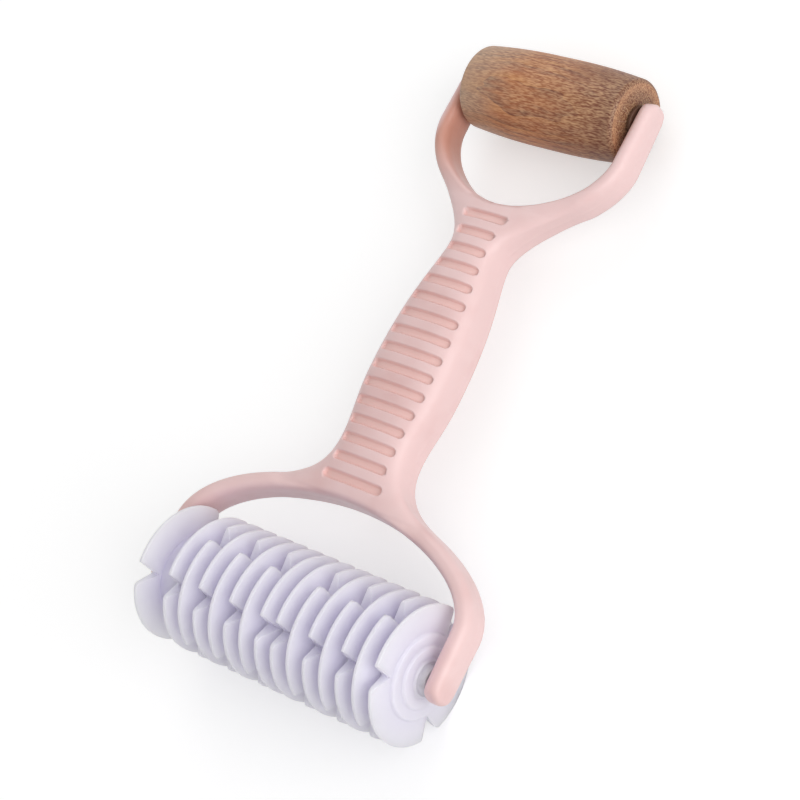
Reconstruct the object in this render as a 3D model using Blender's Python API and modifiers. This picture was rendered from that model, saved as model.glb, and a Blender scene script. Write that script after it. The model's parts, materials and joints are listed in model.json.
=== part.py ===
"""Double-ended pastry roller.

A one-piece plastic handle has a wide yoke at one end and a narrow yoke at the other.
The wide yoke carries a notched lattice roller, and the narrow one a wooden barrel roller.
Both rollers turn freely on pins that sit in blind sockets in the ends of the yoke arms.

Tool frame: X runs across along both roller axles, Y from the lattice axle to the wood axle,
and Z out of the grooved face of the grip. The whole tool leans a little about X, so that
both rollers stand on the table plane Z = 0. All lengths are in metres.
"""

import math
from collections import namedtuple

import bmesh
import bpy
import numpy as np
from mathutils import Vector

# General fit
GAP = 0.0003                   # clearance between pieces that touch or fit into one another
MERGE_DISTANCE = 0.00001       # points closer than this are welded
SMOOTH_UNDER = math.radians(32.0)      # edges that turn less than this are shaded smooth

# Where the axles lie
AXLE_SPAN = 0.1899             # lattice axle to wood axle

# Lattice roller
DISC_RADIUS = 0.0230
DISC_PITCH = 0.00685
DISC_TIP = 0.0012              # flat width of a disc's rim
DISC_ROOT = 0.0055             # width of a disc where it meets the core
CORE_RADIUS = 0.0143
CORE_WALL = 0.0026
HALF_DISCS = 7                 # discs on each half drum
NOTCH_COUNT = 3                # notches round one disc
NOTCH_APEX = 0.0154            # distance of a notch's root from the axle
NOTCH_HALF_ANGLE = math.radians(9.3)
NOTCH_ROOT_FLAT = 0.0003
NOTCH_ANGLE = math.radians(111.0)      # first notch of the end discs, from +Y towards +Z
NOTCH_REACH = 0.0276           # outer end of a notch cutter, past the rim
WEB = 0.0030                   # end wall of a half drum
SPIGOT_LENGTH = 0.0040
SPIGOT_WALL = 0.0030
HUB_WALL = 0.0029               # of the tube round the pin, inside a drum
# Radius and rise of each step of the hub; the last one nearly meets the arm
HUB_STEPS = ((0.0138, 0.0011), (0.0099, 0.0009), (0.0058, 0.0008), (0.0045, 0.0021))
DRUM_SIDES = 36

# Lattice pin
LATTICE_PIN_RADIUS = 0.0030
LATTICE_SOCKET_DEPTH = 0.0038

# Wood roller
WOOD_LENGTH = 0.0636
WOOD_RADIUS = 0.0154           # at the middle of the barrel
WOOD_END_RADIUS = 0.0140       # where the barrel meets its rounded shoulder
WOOD_SHOULDER = 0.0018
WOOD_LAND = 0.0100             # straight stretch at the middle of the barrel
WOOD_SIDES = 36
SHOULDER_STEPS = 2
BARREL_STEPS = 3               # from the shoulder to the straight stretch

# Wood pin and its bushes
WOOD_PIN_RADIUS = 0.0020
WOOD_SOCKET_DEPTH = 0.0040
BUSH_WALL = 0.0023
BUSH_LENGTH = 0.0080
BUSH_FLANGE = 0.0011
BUSH_FLANGE_RADIUS = 0.0056
PIN_CHAMFER = 0.0005
CHAMFER_FROM = math.radians(60.0)      # only edges that turn more than this
PIN_SIDES = 20

# Yokes
ARM_HALF_HEIGHT = 0.0063
TIP_HALF_HEIGHT = 0.0055       # an arm gets lower towards its tip
ARM_TAPER_LENGTH = 0.0220      # over this much of its length
ARM_TIP_REACH = 0.0055         # its two faces meet in a half round over this
ARM_TIP_FLOOR = 0.15           # share of the height that is left at the very tip
ARM_TIP_POWER = 2.0            # the half round is an ellipse
ARM_EDGE_RADIUS = 0.0028
ARM_RIM = 0.0023               # half the height of an arm's upright side
ARM_POWER = 2.3                # fullness of an arm's rounded edges, 2 being an ellipse
ARM_CORNER_RADIUS = 0.0023     # corners of an arm's tip, seen from above
LATTICE_ARM = 0.0061           # thickness of a lattice arm
WOOD_ARM = 0.0056
WOOD_ARM_TIP = 0.0052          # a wood arm thins towards its tip
LATTICE_TIP = 0.0062           # tip of the arm past the axle
WOOD_TIP = 0.0070
LATTICE_STRAIGHT = 0.0156      # axle to the start of the yoke's curve
WOOD_STRAIGHT = 0.0164
LATTICE_CROWN = 0.0248         # depth of the yoke's curve
WOOD_CROWN = 0.0240
LATTICE_POWER = 1.88           # fullness of the curve, 2 being an ellipse
WOOD_POWER = 1.78

# Grip outline, half widths and their places between the two crowns, 0 to 1
LOW_NECK = (0.192, 0.0136)
BELLY = (0.404, 0.0156)
HIGH_NECK = (0.837, 0.0094)
NECK_PULL = (0.0144, 0.0077)   # how long the outline runs on past each neck
FLARE_PULL = (0.0096, 0.0056)
BELLY_PULL = (0.0110, 0.0288)
FLARE_ANGLE = (math.radians(53.0), math.radians(41.0))
CORNER_ANGLE = (math.radians(68.0), math.radians(68.0))

# Grip thickness
CROWN_TOP = 0.0071
GRIP_TOP = 0.0123
CROWN_BOTTOM = 0.0065
GRIP_BOTTOM = 0.0060
GRIP_RIM = 0.0033              # half the height of the grip's upright side
DOME_POWER = 0.6
GRIP_POWER = 2.8               # fullness of the grip's section, 2 being an ellipse
HOLE_EDGE_RADIUS = 0.0024
BLEND_LENGTH = 0.0130          # along X, from the grip's section to the arm's

# Grooves across the grip
GROOVE_COUNT = 16
GROOVE_PITCH = 0.00643
GROOVE_WIDTH = 0.0033
GROOVE_DEPTH = 0.0015
GROOVE_SHARE = 0.82            # of the grip's width, there or a pitch nearer the belly
FIRST_GROOVE = 0.0064          # past the lattice crown's edge
GROOVE_END_TURN = math.radians(78.0)   # how far a groove's round end is followed
GROOVE_FLAT_STEPS = 3          # from a groove's middle to its round end
GROOVE_END_STEPS = 2
GROOVE_CUTTER_TOP = 0.0180     # clear of the grip's highest point

# Fineness of the handle's surface
ACROSS_ARM = (0.0, 0.07, 0.27, 0.73, 0.93, 1.0)
ACROSS_GRIP = (0.0, 0.28, 0.53, 0.74, 0.90, 1.0)
ALONG_CROWN = (1.0, 0.75, 0.5, 0.25, 0.0)
FLARE_STEPS = 4
LOW_SIDE_STEPS = 4             # from the low neck to the belly
HIGH_SIDE_STEPS = 7            # from the belly to the high neck
CURVE_STEPS = 7
TIP_STEPS = (1.0, 0.58, 0.28, 0.09, 0.0)
TANGENT_TURN = 0.01            # turn either way, in radians, that shows how an edge runs

# Worked out from the values above
DISC_ROOM = DISC_PITCH * HALF_DISCS
END_DISC_X = DISC_PITCH * (2 * HALF_DISCS + 1) / 2
END_FACE_X = END_DISC_X + DISC_TIP / 2
HUB_FACE_X = END_FACE_X + sum(rise for _, rise in HUB_STEPS)
LATTICE_ARM_X = HUB_FACE_X + GAP
RIGHT_START_X = END_DISC_X + DISC_PITCH / 2 - DISC_ROOM
LEFT_START_X = RIGHT_START_X - DISC_ROOM
WOOD_ARM_X = WOOD_LENGTH / 2 + GAP + BUSH_FLANGE + GAP
LATTICE_AXLE_HEIGHT = DISC_RADIUS * math.cos(math.pi / DRUM_SIDES)
WOOD_AXLE_HEIGHT = WOOD_RADIUS * math.cos(math.pi / WOOD_SIDES)
LEAN = math.asin((LATTICE_AXLE_HEIGHT - WOOD_AXLE_HEIGHT) / AXLE_SPAN)
LATTICE_AXLE_Y = (DISC_RADIUS - WOOD_RADIUS - AXLE_SPAN * math.cos(LEAN)) / 2
DRUM_TURN = LEAN + math.pi / DRUM_SIDES    # lays a flat facet of each roller on the table
BARREL_TURN = LEAN + math.pi / WOOD_SIDES

Yoke = namedtuple("Yoke", "axle towards inner arm arm_tip tip straight crown power "
                          "neck flare_pull neck_pull flare_angle corner_angle")

LATTICE_YOKE = Yoke(0.0, -1, LATTICE_ARM_X, LATTICE_ARM, LATTICE_ARM, LATTICE_TIP,
                    LATTICE_STRAIGHT, LATTICE_CROWN, LATTICE_POWER,
                    LOW_NECK, FLARE_PULL[0], NECK_PULL[0], FLARE_ANGLE[0], CORNER_ANGLE[0])
WOOD_YOKE = Yoke(AXLE_SPAN, 1, WOOD_ARM_X, WOOD_ARM, WOOD_ARM_TIP, WOOD_TIP,
                 WOOD_STRAIGHT, WOOD_CROWN, WOOD_POWER,
                 HIGH_NECK, FLARE_PULL[1], NECK_PULL[1], FLARE_ANGLE[1], CORNER_ANGLE[1])

LOW_CROWN_Y = LATTICE_STRAIGHT + LATTICE_CROWN
HIGH_CROWN_Y = AXLE_SPAN - WOOD_STRAIGHT - WOOD_CROWN
LOW_TIP_Y = -LATTICE_TIP
HIGH_TIP_Y = AXLE_SPAN + WOOD_TIP


def clear_scene():
    """Remove whatever objects the scene holds."""
    for item in list(bpy.data.objects):
        bpy.data.objects.remove(item, do_unlink=True)


def new_collection(name):
    """Make a collection in the scene."""
    group = bpy.data.collections.new(name)
    bpy.context.scene.collection.children.link(group)
    return group


def new_material(name, colour, roughness, metallic=0.0):
    """Make a plain material from a linear colour."""
    material = bpy.data.materials.new(name)
    material.use_nodes = True
    shader = material.node_tree.nodes["Principled BSDF"]
    shader.inputs["Base Color"].default_value = (*colour, 1.0)
    shader.inputs["Roughness"].default_value = roughness
    shader.inputs["Metallic"].default_value = metallic
    return material


def add_object(name, bm, collection, parent, material=None):
    """Turn a bmesh into an object and free it."""
    mesh = bpy.data.meshes.new(name)
    bm.to_mesh(mesh)
    bm.free()
    item = bpy.data.objects.new(name, mesh)
    collection.objects.link(item)
    item.parent = parent
    if material is not None:
        mesh.materials.append(material)
    return item


def add_empty(name, collection, parent=None, place=(0.0, 0.0, 0.0)):
    """Make an empty that carries other objects."""
    empty = bpy.data.objects.new(name, None)
    collection.objects.link(empty)
    empty.parent = parent
    empty.location = place
    return empty


def hide_cutter(item):
    """Show a cutter as wire only and keep it out of renders."""
    item.display_type = "WIRE"
    item.hide_render = True


def add_boolean(item, other, operation):
    """Join another object to this one, or cut it away."""
    modifier = item.modifiers.new(operation.title() + "_" + other.name, "BOOLEAN")
    modifier.operation = operation
    modifier.solver = "EXACT"
    modifier.object = other


def round_shading(item):
    """Shade a mesh smooth and keep its sharp edges."""
    item.data.shade_smooth()
    item.data.set_sharp_from_angle(angle=SMOOTH_UNDER)


def lay_along_x(item):
    """Turn a piece made about Z so that its axis runs along X."""
    item.rotation_euler = (0.0, math.pi / 2, 0.0)


def turned(name, profile, sides, collection, parent, material):
    """Spin a closed profile of (radius, place along the axle) about the axle."""
    bm = bmesh.new()
    ring = [bm.verts.new((radius, 0.0, along)) for radius, along in profile]
    for first, second in zip(ring, ring[1:] + ring[:1]):
        bm.edges.new((first, second))
    item = add_object(name, bm, collection, parent, material)
    screw = item.modifiers.new("Turn", "SCREW")
    screw.axis = "Z"
    screw.steps = sides
    screw.render_steps = sides
    screw.use_merge_vertices = True
    screw.merge_threshold = MERGE_DISTANCE
    screw.use_normal_calculate = False
    lay_along_x(item)
    return item


# Outline of the handle, seen from above


def yoke_edge(yoke, angle):
    """Point of a yoke's inner edge: 0 at the arm, a quarter turn at the crown's middle."""
    share = 2.0 / yoke.power
    across = yoke.inner * max(math.cos(angle), 0.0) ** share
    back = yoke.straight + yoke.crown * max(math.sin(angle), 0.0) ** share
    return Vector((across, yoke.axle - yoke.towards * back))


def yoke_outside(yoke, angle):
    """Point one arm thickness outside the yoke's inner edge, with the way it runs there."""
    ahead = yoke_edge(yoke, angle + TANGENT_TURN)
    behind = yoke_edge(yoke, max(angle - TANGENT_TURN, 0.0))
    run = (ahead - behind).normalized()
    outward = Vector((run.y, -run.x)) * -yoke.towards
    return yoke_edge(yoke, angle) + outward * yoke.arm, run


def bezier(points, share):
    """Point at a share of the way along a cubic curve."""
    first, second, third, last = points
    rest = 1.0 - share
    return (first * rest ** 3 + second * 3 * rest ** 2 * share
            + third * 3 * rest * share ** 2 + last * share ** 3)


def grip_point(place):
    """Point on the grip's outline from its place between the crowns and its half width."""
    share, half_width = place
    return Vector((half_width, LOW_CROWN_Y + share * (HIGH_CROWN_Y - LOW_CROWN_Y)))


def flare_curve(yoke):
    """Curve from the outside of a yoke arm to the nearest neck of the grip."""
    start, run = yoke_outside(yoke, yoke.flare_angle)
    neck = grip_point(yoke.neck)
    return (start, start + run * yoke.flare_pull,
            neck + Vector((0.0, yoke.towards * yoke.neck_pull)), neck)


def side_points():
    """Outline of the grip from the lattice flare's middle to the wood flare's middle."""
    belly = grip_point(BELLY)
    low_neck = grip_point(LOW_NECK)
    high_neck = grip_point(HIGH_NECK)
    low_side = (low_neck, low_neck + Vector((0.0, NECK_PULL[1])),
                belly - Vector((0.0, BELLY_PULL[0])), belly)
    high_side = (belly, belly + Vector((0.0, BELLY_PULL[1])),
                 high_neck - Vector((0.0, NECK_PULL[1])), high_neck)
    points = [bezier(flare_curve(LATTICE_YOKE), 0.5 + 0.5 * step / FLARE_STEPS)
              for step in range(FLARE_STEPS)]
    for curve, steps in ((low_side, LOW_SIDE_STEPS), (high_side, HIGH_SIDE_STEPS)):
        points += [bezier(curve, step / steps) for step in range(steps)]
    points += [bezier(flare_curve(WOOD_YOKE), 1.0 - 0.5 * step / FLARE_STEPS)
               for step in range(FLARE_STEPS + 1)]
    return points


def arm_rows(yoke):
    """Pairs of inner and outer points, from beside the grip's corner to the arm's tip."""
    rows = []
    flare = flare_curve(yoke)
    for step in range(1, FLARE_STEPS + 1):
        share = step / FLARE_STEPS
        angle = yoke.corner_angle + (yoke.flare_angle - yoke.corner_angle) * share
        rows.append((yoke_edge(yoke, angle), bezier(flare, 0.5 - 0.5 * share)))
    for step in range(1, CURVE_STEPS + 1):
        angle = yoke.flare_angle * (1.0 - step / CURVE_STEPS)
        rows.append((yoke_edge(yoke, angle), yoke_outside(yoke, angle)[0]))
    tip_y = yoke.axle + yoke.towards * yoke.tip
    bend_y = yoke.axle - yoke.towards * yoke.straight
    stops = [yoke.axle - yoke.towards * yoke.straight / 2]
    stops += [tip_y - yoke.towards * ARM_TIP_REACH * share for share in TIP_STEPS]
    for along in stops:
        share = (along - bend_y) / (tip_y - bend_y)
        thick = yoke.arm + (yoke.arm_tip - yoke.arm) * share
        left = abs(tip_y - along)
        pinch = 0.0
        if left < ARM_CORNER_RADIUS:
            depth = ARM_CORNER_RADIUS - left
            pinch = ARM_CORNER_RADIUS - math.sqrt(ARM_CORNER_RADIUS ** 2 - depth ** 2)
        rows.append((Vector((yoke.inner + pinch, along)),
                     Vector((yoke.inner + thick - pinch, along))))
    return rows


# Heights of the handle's two faces


def dome(along, crown, middle):
    """Height on the grip's centre line: low at both crowns, full between them."""
    share = (along - LOW_CROWN_Y) / (HIGH_CROWN_Y - LOW_CROWN_Y)
    share = min(max(share, 0.0), 1.0)
    return crown + (middle - crown) * math.sin(math.pi * share) ** DOME_POWER


def rounding(distance, reach, power):
    """Rise from an edge, 0 on it and 1 from the reach inwards; a power of 2 gives an ellipse."""
    share = min(distance / reach, 1.0)
    return (1.0 - (1.0 - share) ** power) ** (1.0 / power)


def distance_to(line, point):
    """Shortest distance from a point to a line of straight stretches."""
    nearest = math.inf
    for start, end in zip(line, line[1:]):
        run = end - start
        share = min(max((point - start).dot(run) / run.length_squared, 0.0), 1.0)
        nearest = min(nearest, (start + run * share - point).length)
    return nearest


def handle_outlines():
    """The handle's outer edge and its two yoke edges, for the half at positive X."""
    low, high = arm_rows(LATTICE_YOKE), arm_rows(WOOD_YOKE)
    side = side_points()
    outer = [row[1] for row in reversed(low)] + side + [row[1] for row in high]
    outer = [low[-1][0]] + outer + [high[-1][0]]
    holes = []
    for yoke, rows in ((LATTICE_YOKE, low), (WOOD_YOKE, high)):
        crown = [yoke_edge(yoke, yoke.corner_angle
                           + (math.pi / 2 - yoke.corner_angle) * share)
                 for share in ALONG_CROWN]
        holes.append(crown + [row[0] for row in rows])
    return outer, holes, side


def face_height(point, outer, holes, half_width, crown, middle):
    """Height of a face over a point of the plan, from the distances to its edges."""
    corner = grip_corner(point.y)
    blend = min(max((point.x - corner) / BLEND_LENGTH, 0.0), 1.0)
    blend = blend * blend * (3.0 - 2.0 * blend)
    tip_left = max(min(point.y - LOW_TIP_Y, HIGH_TIP_Y - point.y), 0.0)
    taper = max(1.0 - tip_left / ARM_TAPER_LENGTH, 0.0)
    arm_height = ARM_HALF_HEIGHT * (1.0 - taper) + TIP_HALF_HEIGHT * taper
    full = dome(point.y, crown, middle) * (1.0 - blend) + arm_height * blend
    rim = GRIP_RIM * (1.0 - blend) + ARM_RIM * blend
    power = GRIP_POWER * (1.0 - blend) + ARM_POWER * blend
    reach = half_width * (1.0 - blend) + ARM_EDGE_RADIUS * blend
    hole_reach = HOLE_EDGE_RADIUS * (1.0 - blend) + ARM_EDGE_RADIUS * blend
    rise = rounding(distance_to(outer, point), reach, power)
    for hole in holes:
        rise *= rounding(distance_to(hole, point), hole_reach, power)
    fall = ARM_TIP_FLOOR + (1.0 - ARM_TIP_FLOOR) * rounding(tip_left, ARM_TIP_REACH, ARM_TIP_POWER)
    return (rim + (full - rim) * rise) * fall


def grip_corner(along):
    """Half width of the grip at the flare that lies on this side of the belly."""
    yoke = LATTICE_YOKE if along < grip_point(BELLY).y else WOOD_YOKE
    return bezier(flare_curve(yoke), 0.5).x


def width_at(side, along):
    """Half width of the grip's outline at a place along the handle."""
    return float(np.interp(along, [point.y for point in side], [point.x for point in side]))


def handle_half():
    """Mesh of the handle's half at positive X, open on the plane X = 0."""
    outer, holes, side = handle_outlines()
    bands = len(ACROSS_ARM) - 1
    columns = len(ACROSS_GRIP) - 1
    rows = len(side) - 1 + 2 * bands
    bm = bmesh.new()
    bmesh.ops.create_grid(bm, x_segments=columns, y_segments=rows, size=1.0)
    number = {}
    ends = {}
    for vert in bm.verts:
        column = round((vert.co.x + 1.0) / 2 * columns)
        row = round((vert.co.y + 1.0) / 2 * rows)
        share = ACROSS_GRIP[column]
        if bands <= row <= rows - bands:
            point = side[row - bands]
            place = Vector((point.x * share, point.y))
        else:
            low = row < bands
            yoke = LATTICE_YOKE if low else WOOD_YOKE
            point = side[0] if low else side[-1]
            angle = math.pi / 2 + (yoke.corner_angle - math.pi / 2) * share
            edge = yoke_edge(yoke, angle)
            number[vert] = row if low else rows - row
            part = ACROSS_ARM[number[vert]]
            place = edge.lerp(Vector((point.x * share, point.y)), part)
        if row in (bands, rows - bands):
            number[vert] = bands
        if column == columns and vert in number:
            ends.setdefault(row < rows / 2, []).append(vert)
        vert.co = (place.x, place.y, 0.0)
    for low, yoke in ((True, LATTICE_YOKE), (False, WOOD_YOKE)):
        front = set(ends[low])
        for inner, outside in arm_rows(yoke):
            edges = [edge for edge in bm.edges if front.issuperset(edge.verts)]
            grown = bmesh.ops.extrude_edge_only(bm, edges=edges)["geom"]
            fresh = [part for part in grown if isinstance(part, bmesh.types.BMVert)]
            for vert in fresh:
                source = next(edge.other_vert(vert) for edge in vert.link_edges
                              if edge.other_vert(vert) in front)
                number[vert] = number[source]
                place = inner.lerp(outside, ACROSS_ARM[number[vert]])
                vert.co = (place.x, place.y, 0.0)
            front = set(fresh)
    heights = {}
    for vert in bm.verts:
        point = vert.co.xy
        half_width = width_at(side, point.y)
        heights[point.to_tuple(7)] = (
            face_height(point, outer, holes, half_width, CROWN_TOP, GRIP_TOP),
            face_height(point, outer, holes, half_width, CROWN_BOTTOM, GRIP_BOTTOM))
    raised = bmesh.ops.extrude_face_region(bm, geom=bm.faces[:])["geom"]
    tops = {part for part in raised if isinstance(part, bmesh.types.BMVert)}
    for vert in bm.verts:
        top, bottom = heights[vert.co.xy.to_tuple(7)]
        vert.co.z = top if vert in tops else -bottom
    middle = [face for face in bm.faces if all(abs(vert.co.x) < 1e-7 for vert in face.verts)]
    bmesh.ops.delete(bm, geom=middle, context="FACES_ONLY")
    bmesh.ops.recalc_face_normals(bm, faces=bm.faces[:])
    return bm


def groove_reach(side, along):
    """Half length of a groove: it doesn't widen as fast as the grip's flares do."""
    inwards = math.copysign(GROOVE_PITCH, grip_point(BELLY).y - along)
    return GROOVE_SHARE * min(width_at(side, along), width_at(side, along + inwards))


def groove_cutters():
    """Round-ended bars, one for each groove, whose lower face follows the grip's dome."""
    side = handle_outlines()[2]
    bm = bmesh.new()
    radius = GROOVE_WIDTH / 2
    steps = GROOVE_FLAT_STEPS + GROOVE_END_STEPS
    for count in range(GROOVE_COUNT):
        along = LOW_CROWN_Y + FIRST_GROOVE + GROOVE_PITCH * count
        half_width = width_at(side, along)
        reach = groove_reach(side, along)
        floor = dome(along, CROWN_TOP, GRIP_TOP)
        floor_mesh = bmesh.ops.create_grid(bm, x_segments=2 * steps, y_segments=1, size=1.0)
        for vert in floor_mesh["verts"]:
            step = round(vert.co.x * steps)
            inner = reach - radius
            past = abs(step) - GROOVE_FLAT_STEPS
            if past <= 0:
                across = inner * step / GROOVE_FLAT_STEPS
                width = radius
            else:
                turn = past / GROOVE_END_STEPS * GROOVE_END_TURN
                across = math.copysign(inner + radius * math.sin(turn), step)
                width = radius * math.cos(turn)
            sag = rounding(half_width - abs(across), half_width, GRIP_POWER)
            height = GRIP_RIM + (floor - GRIP_RIM) * sag - GROOVE_DEPTH
            vert.co = (across, along + math.copysign(width, vert.co.y), height)
    raised = bmesh.ops.extrude_face_region(bm, geom=bm.faces[:])["geom"]
    for part in raised:
        if isinstance(part, bmesh.types.BMVert):
            part.co.z = GROOVE_CUTTER_TOP
    bmesh.ops.recalc_face_normals(bm, faces=bm.faces[:])
    return bm


def rod(radius, length):
    """A plain rod about Z, centred on its middle."""
    bm = bmesh.new()
    bmesh.ops.create_cone(bm, cap_ends=True, segments=PIN_SIDES, radius1=radius, radius2=radius,
                          depth=length)
    return bm


def build_handle(parts, cutters, frame, material):
    """The one-piece handle: grip, two yokes, blind sockets and grooves."""
    handle = add_object("handle_frame", handle_half(), parts, frame, material)
    mirror = handle.modifiers.new("Other_half", "MIRROR")
    mirror.use_axis = (True, False, False)
    mirror.use_clip = True
    mirror.merge_threshold = MERGE_DISTANCE

    sockets = (("lattice", LATTICE_YOKE, LATTICE_PIN_RADIUS, LATTICE_SOCKET_DEPTH),
               ("wood", WOOD_YOKE, WOOD_PIN_RADIUS, WOOD_SOCKET_DEPTH))
    for name, yoke, radius, depth in sockets:
        cutter = add_object("socket_" + name, rod(radius + GAP, 2 * (yoke.inner + depth)),
                            cutters, frame)
        cutter.location = (0.0, yoke.axle, 0.0)
        lay_along_x(cutter)
        hide_cutter(cutter)
        add_boolean(handle, cutter, "DIFFERENCE")

    grooves = add_object("groove_cutters", groove_cutters(), cutters, frame)
    hide_cutter(grooves)
    add_boolean(handle, grooves, "DIFFERENCE")
    return handle


# Lattice roller


def disc_outline(centre):
    """Outline of one wedge-shaped disc, from its high side to its low side."""
    return [(CORE_RADIUS, centre + DISC_ROOT / 2), (DISC_RADIUS, centre + DISC_TIP / 2),
            (DISC_RADIUS, centre - DISC_TIP / 2), (CORE_RADIUS, centre - DISC_ROOT / 2)]


def hub_outline(face, sign):
    """Stepped hub on a flat end face, from the axle outwards."""
    points = []
    along = face + sign * sum(rise for _, rise in HUB_STEPS)
    points.append((LATTICE_PIN_RADIUS + GAP, along))
    for radius, rise in reversed(HUB_STEPS):
        points.append((radius, along))
        along -= sign * rise
        points.append((radius, along))
    return points


def cup_outline(low, high):
    """Inside of a drum piece whose cup opens at its low end, from low to high."""
    bore = LATTICE_PIN_RADIUS + GAP
    cup = CORE_RADIUS - CORE_WALL
    return [(cup, low), (cup, high - WEB), (bore + HUB_WALL, high - WEB),
            (bore + HUB_WALL, low), (bore, low)]


def spigot_outline(face):
    """Ring that enters the next piece's cup, from the axle outwards."""
    bore = LATTICE_PIN_RADIUS + GAP
    outer = CORE_RADIUS - CORE_WALL - GAP
    return [(bore, face), (outer - SPIGOT_WALL, face),
            (outer - SPIGOT_WALL, face + SPIGOT_LENGTH), (outer, face + SPIGOT_LENGTH),
            (outer, face)]


def notch_cutters(name, discs, cutters, parent):
    """Wedges that cut the notches of several discs, given as (centre, turn) pairs."""
    bm = bmesh.new()
    rim_depth = DISC_RADIUS * math.cos(NOTCH_HALF_ANGLE) - NOTCH_APEX
    slope = (DISC_RADIUS * math.sin(NOTCH_HALF_ANGLE) - NOTCH_ROOT_FLAT / 2) / rim_depth
    for centre, turn in discs:
        for count in range(NOTCH_COUNT):
            angle = NOTCH_ANGLE - DRUM_TURN + turn + count * math.tau / NOTCH_COUNT
            inward = Vector((0.0, math.cos(angle), math.sin(angle)))
            sideways = Vector((0.0, -math.sin(angle), math.cos(angle)))
            wedge = bmesh.ops.create_cube(bm, size=2.0)["verts"]
            for vert in wedge:
                out = NOTCH_APEX if vert.co.x < 0 else NOTCH_REACH
                half = NOTCH_ROOT_FLAT / 2 + slope * (out - NOTCH_APEX)
                vert.co = (inward * out + sideways * half * vert.co.y
                           + Vector((centre + vert.co.z * DISC_PITCH / 2, 0.0, 0.0)))
    bmesh.ops.recalc_face_normals(bm, faces=bm.faces[:])
    item = add_object(name, bm, cutters, parent)
    hide_cutter(item)
    return item


def build_half_drum(name, start, last_is_end, parts, cutters, axis, material):
    """Half drum of wedge discs; the right one ends in a flat disc with a stepped hub."""
    low = start + GAP / 2
    high = END_FACE_X if last_is_end else start + DISC_ROOM - GAP / 2
    centres = [start + DISC_PITCH * (count + 0.5) for count in range(HALF_DISCS)]
    outer = []
    for centre in reversed(centres):
        outer += disc_outline(centre)
    if last_is_end:
        top = hub_outline(high, 1)
        outer = [(DISC_RADIUS, high)] + outer[2:]
    else:
        top = spigot_outline(high) + [(CORE_RADIUS, high)]
    profile = top + outer + [(CORE_RADIUS, low)] + cup_outline(low, high)
    drum = turned(name, profile, DRUM_SIDES, parts, axis, material)
    discs = [(centre, 0.0 if count % 2 == 0 else math.pi / NOTCH_COUNT)
             for count, centre in enumerate(centres)]
    add_boolean(drum, notch_cutters(name + "_notches", discs, cutters, axis), "DIFFERENCE")
    return drum


def build_end_flange(parts, cutters, axis, material):
    """End disc with its hub steps on the left and a spigot for the left half drum."""
    low, high = -END_FACE_X, LEFT_START_X - GAP / 2
    centre = -END_DISC_X
    hub = hub_outline(low, -1)
    profile = spigot_outline(high) + [(CORE_RADIUS, high)] + disc_outline(centre)[:2]
    profile += [(DISC_RADIUS, low)] + hub[::-1]
    flange = turned("lattice_end_flange", profile, DRUM_SIDES, parts, axis, material)
    notches = notch_cutters("end_flange_notches", [(centre, 0.0)], cutters, axis)
    add_boolean(flange, notches, "DIFFERENCE")
    return flange


# Wood roller and pins


def barrel_outline():
    """Outer edge of the wooden barrel, from its high end to its low end."""
    end = WOOD_LENGTH / 2 - WOOD_SHOULDER
    land = WOOD_LAND / 2
    half = []
    for step in range(SHOULDER_STEPS + 1):
        turn = math.pi / 2 * step / SHOULDER_STEPS
        half.append((WOOD_END_RADIUS - WOOD_SHOULDER * (1.0 - math.sin(turn)),
                     end + WOOD_SHOULDER * math.cos(turn)))
    for step in range(1, BARREL_STEPS + 1):
        along = end + (land - end) * step / BARREL_STEPS
        fall = ((along - land) / (end - land)) ** 2
        half.append((WOOD_RADIUS - (WOOD_RADIUS - WOOD_END_RADIUS) * fall, along))
    return half + [(radius, -along) for radius, along in reversed(half)]


def build_wood_roller(parts, axis, material):
    """Wooden barrel with a through hole, counterbored at both ends for the bushes."""
    bore = WOOD_PIN_RADIUS + GAP
    seat = bore + BUSH_WALL + GAP
    end = WOOD_LENGTH / 2
    shelf = end - BUSH_LENGTH - GAP
    inside = [(seat, -end), (seat, -shelf), (bore, -shelf), (bore, shelf), (seat, shelf),
              (seat, end)]
    profile = barrel_outline() + inside
    return turned("wood_roller", profile, WOOD_SIDES, parts, axis, material)


def build_bush(name, sign, parts, axis, material):
    """Flanged bush in one end of the wooden barrel."""
    bore = WOOD_PIN_RADIUS + GAP
    sleeve = bore + BUSH_WALL
    back = WOOD_LENGTH / 2 + GAP
    front = back + BUSH_FLANGE
    inner = back - GAP - BUSH_LENGTH
    profile = [(bore, front), (BUSH_FLANGE_RADIUS, front), (BUSH_FLANGE_RADIUS, back),
               (sleeve, back), (sleeve, inner), (bore, inner)]
    if sign < 0:
        profile = [(radius, -along) for radius, along in reversed(profile)]
    return turned(name, profile, PIN_SIDES, parts, axis, material)


def build_pin(name, radius, half_length, yoke, parts, frame, material):
    """Steel pin, chamfered at both ends, that lies in a yoke's two sockets."""
    pin = add_object(name, rod(radius, 2 * half_length), parts, frame, material)
    pin.location = (0.0, yoke.axle, 0.0)
    lay_along_x(pin)
    bevel = pin.modifiers.new("End_chamfer", "BEVEL")
    bevel.width = PIN_CHAMFER
    bevel.segments = 1
    bevel.limit_method = "ANGLE"
    bevel.angle_limit = CHAMFER_FROM
    return pin


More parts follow.
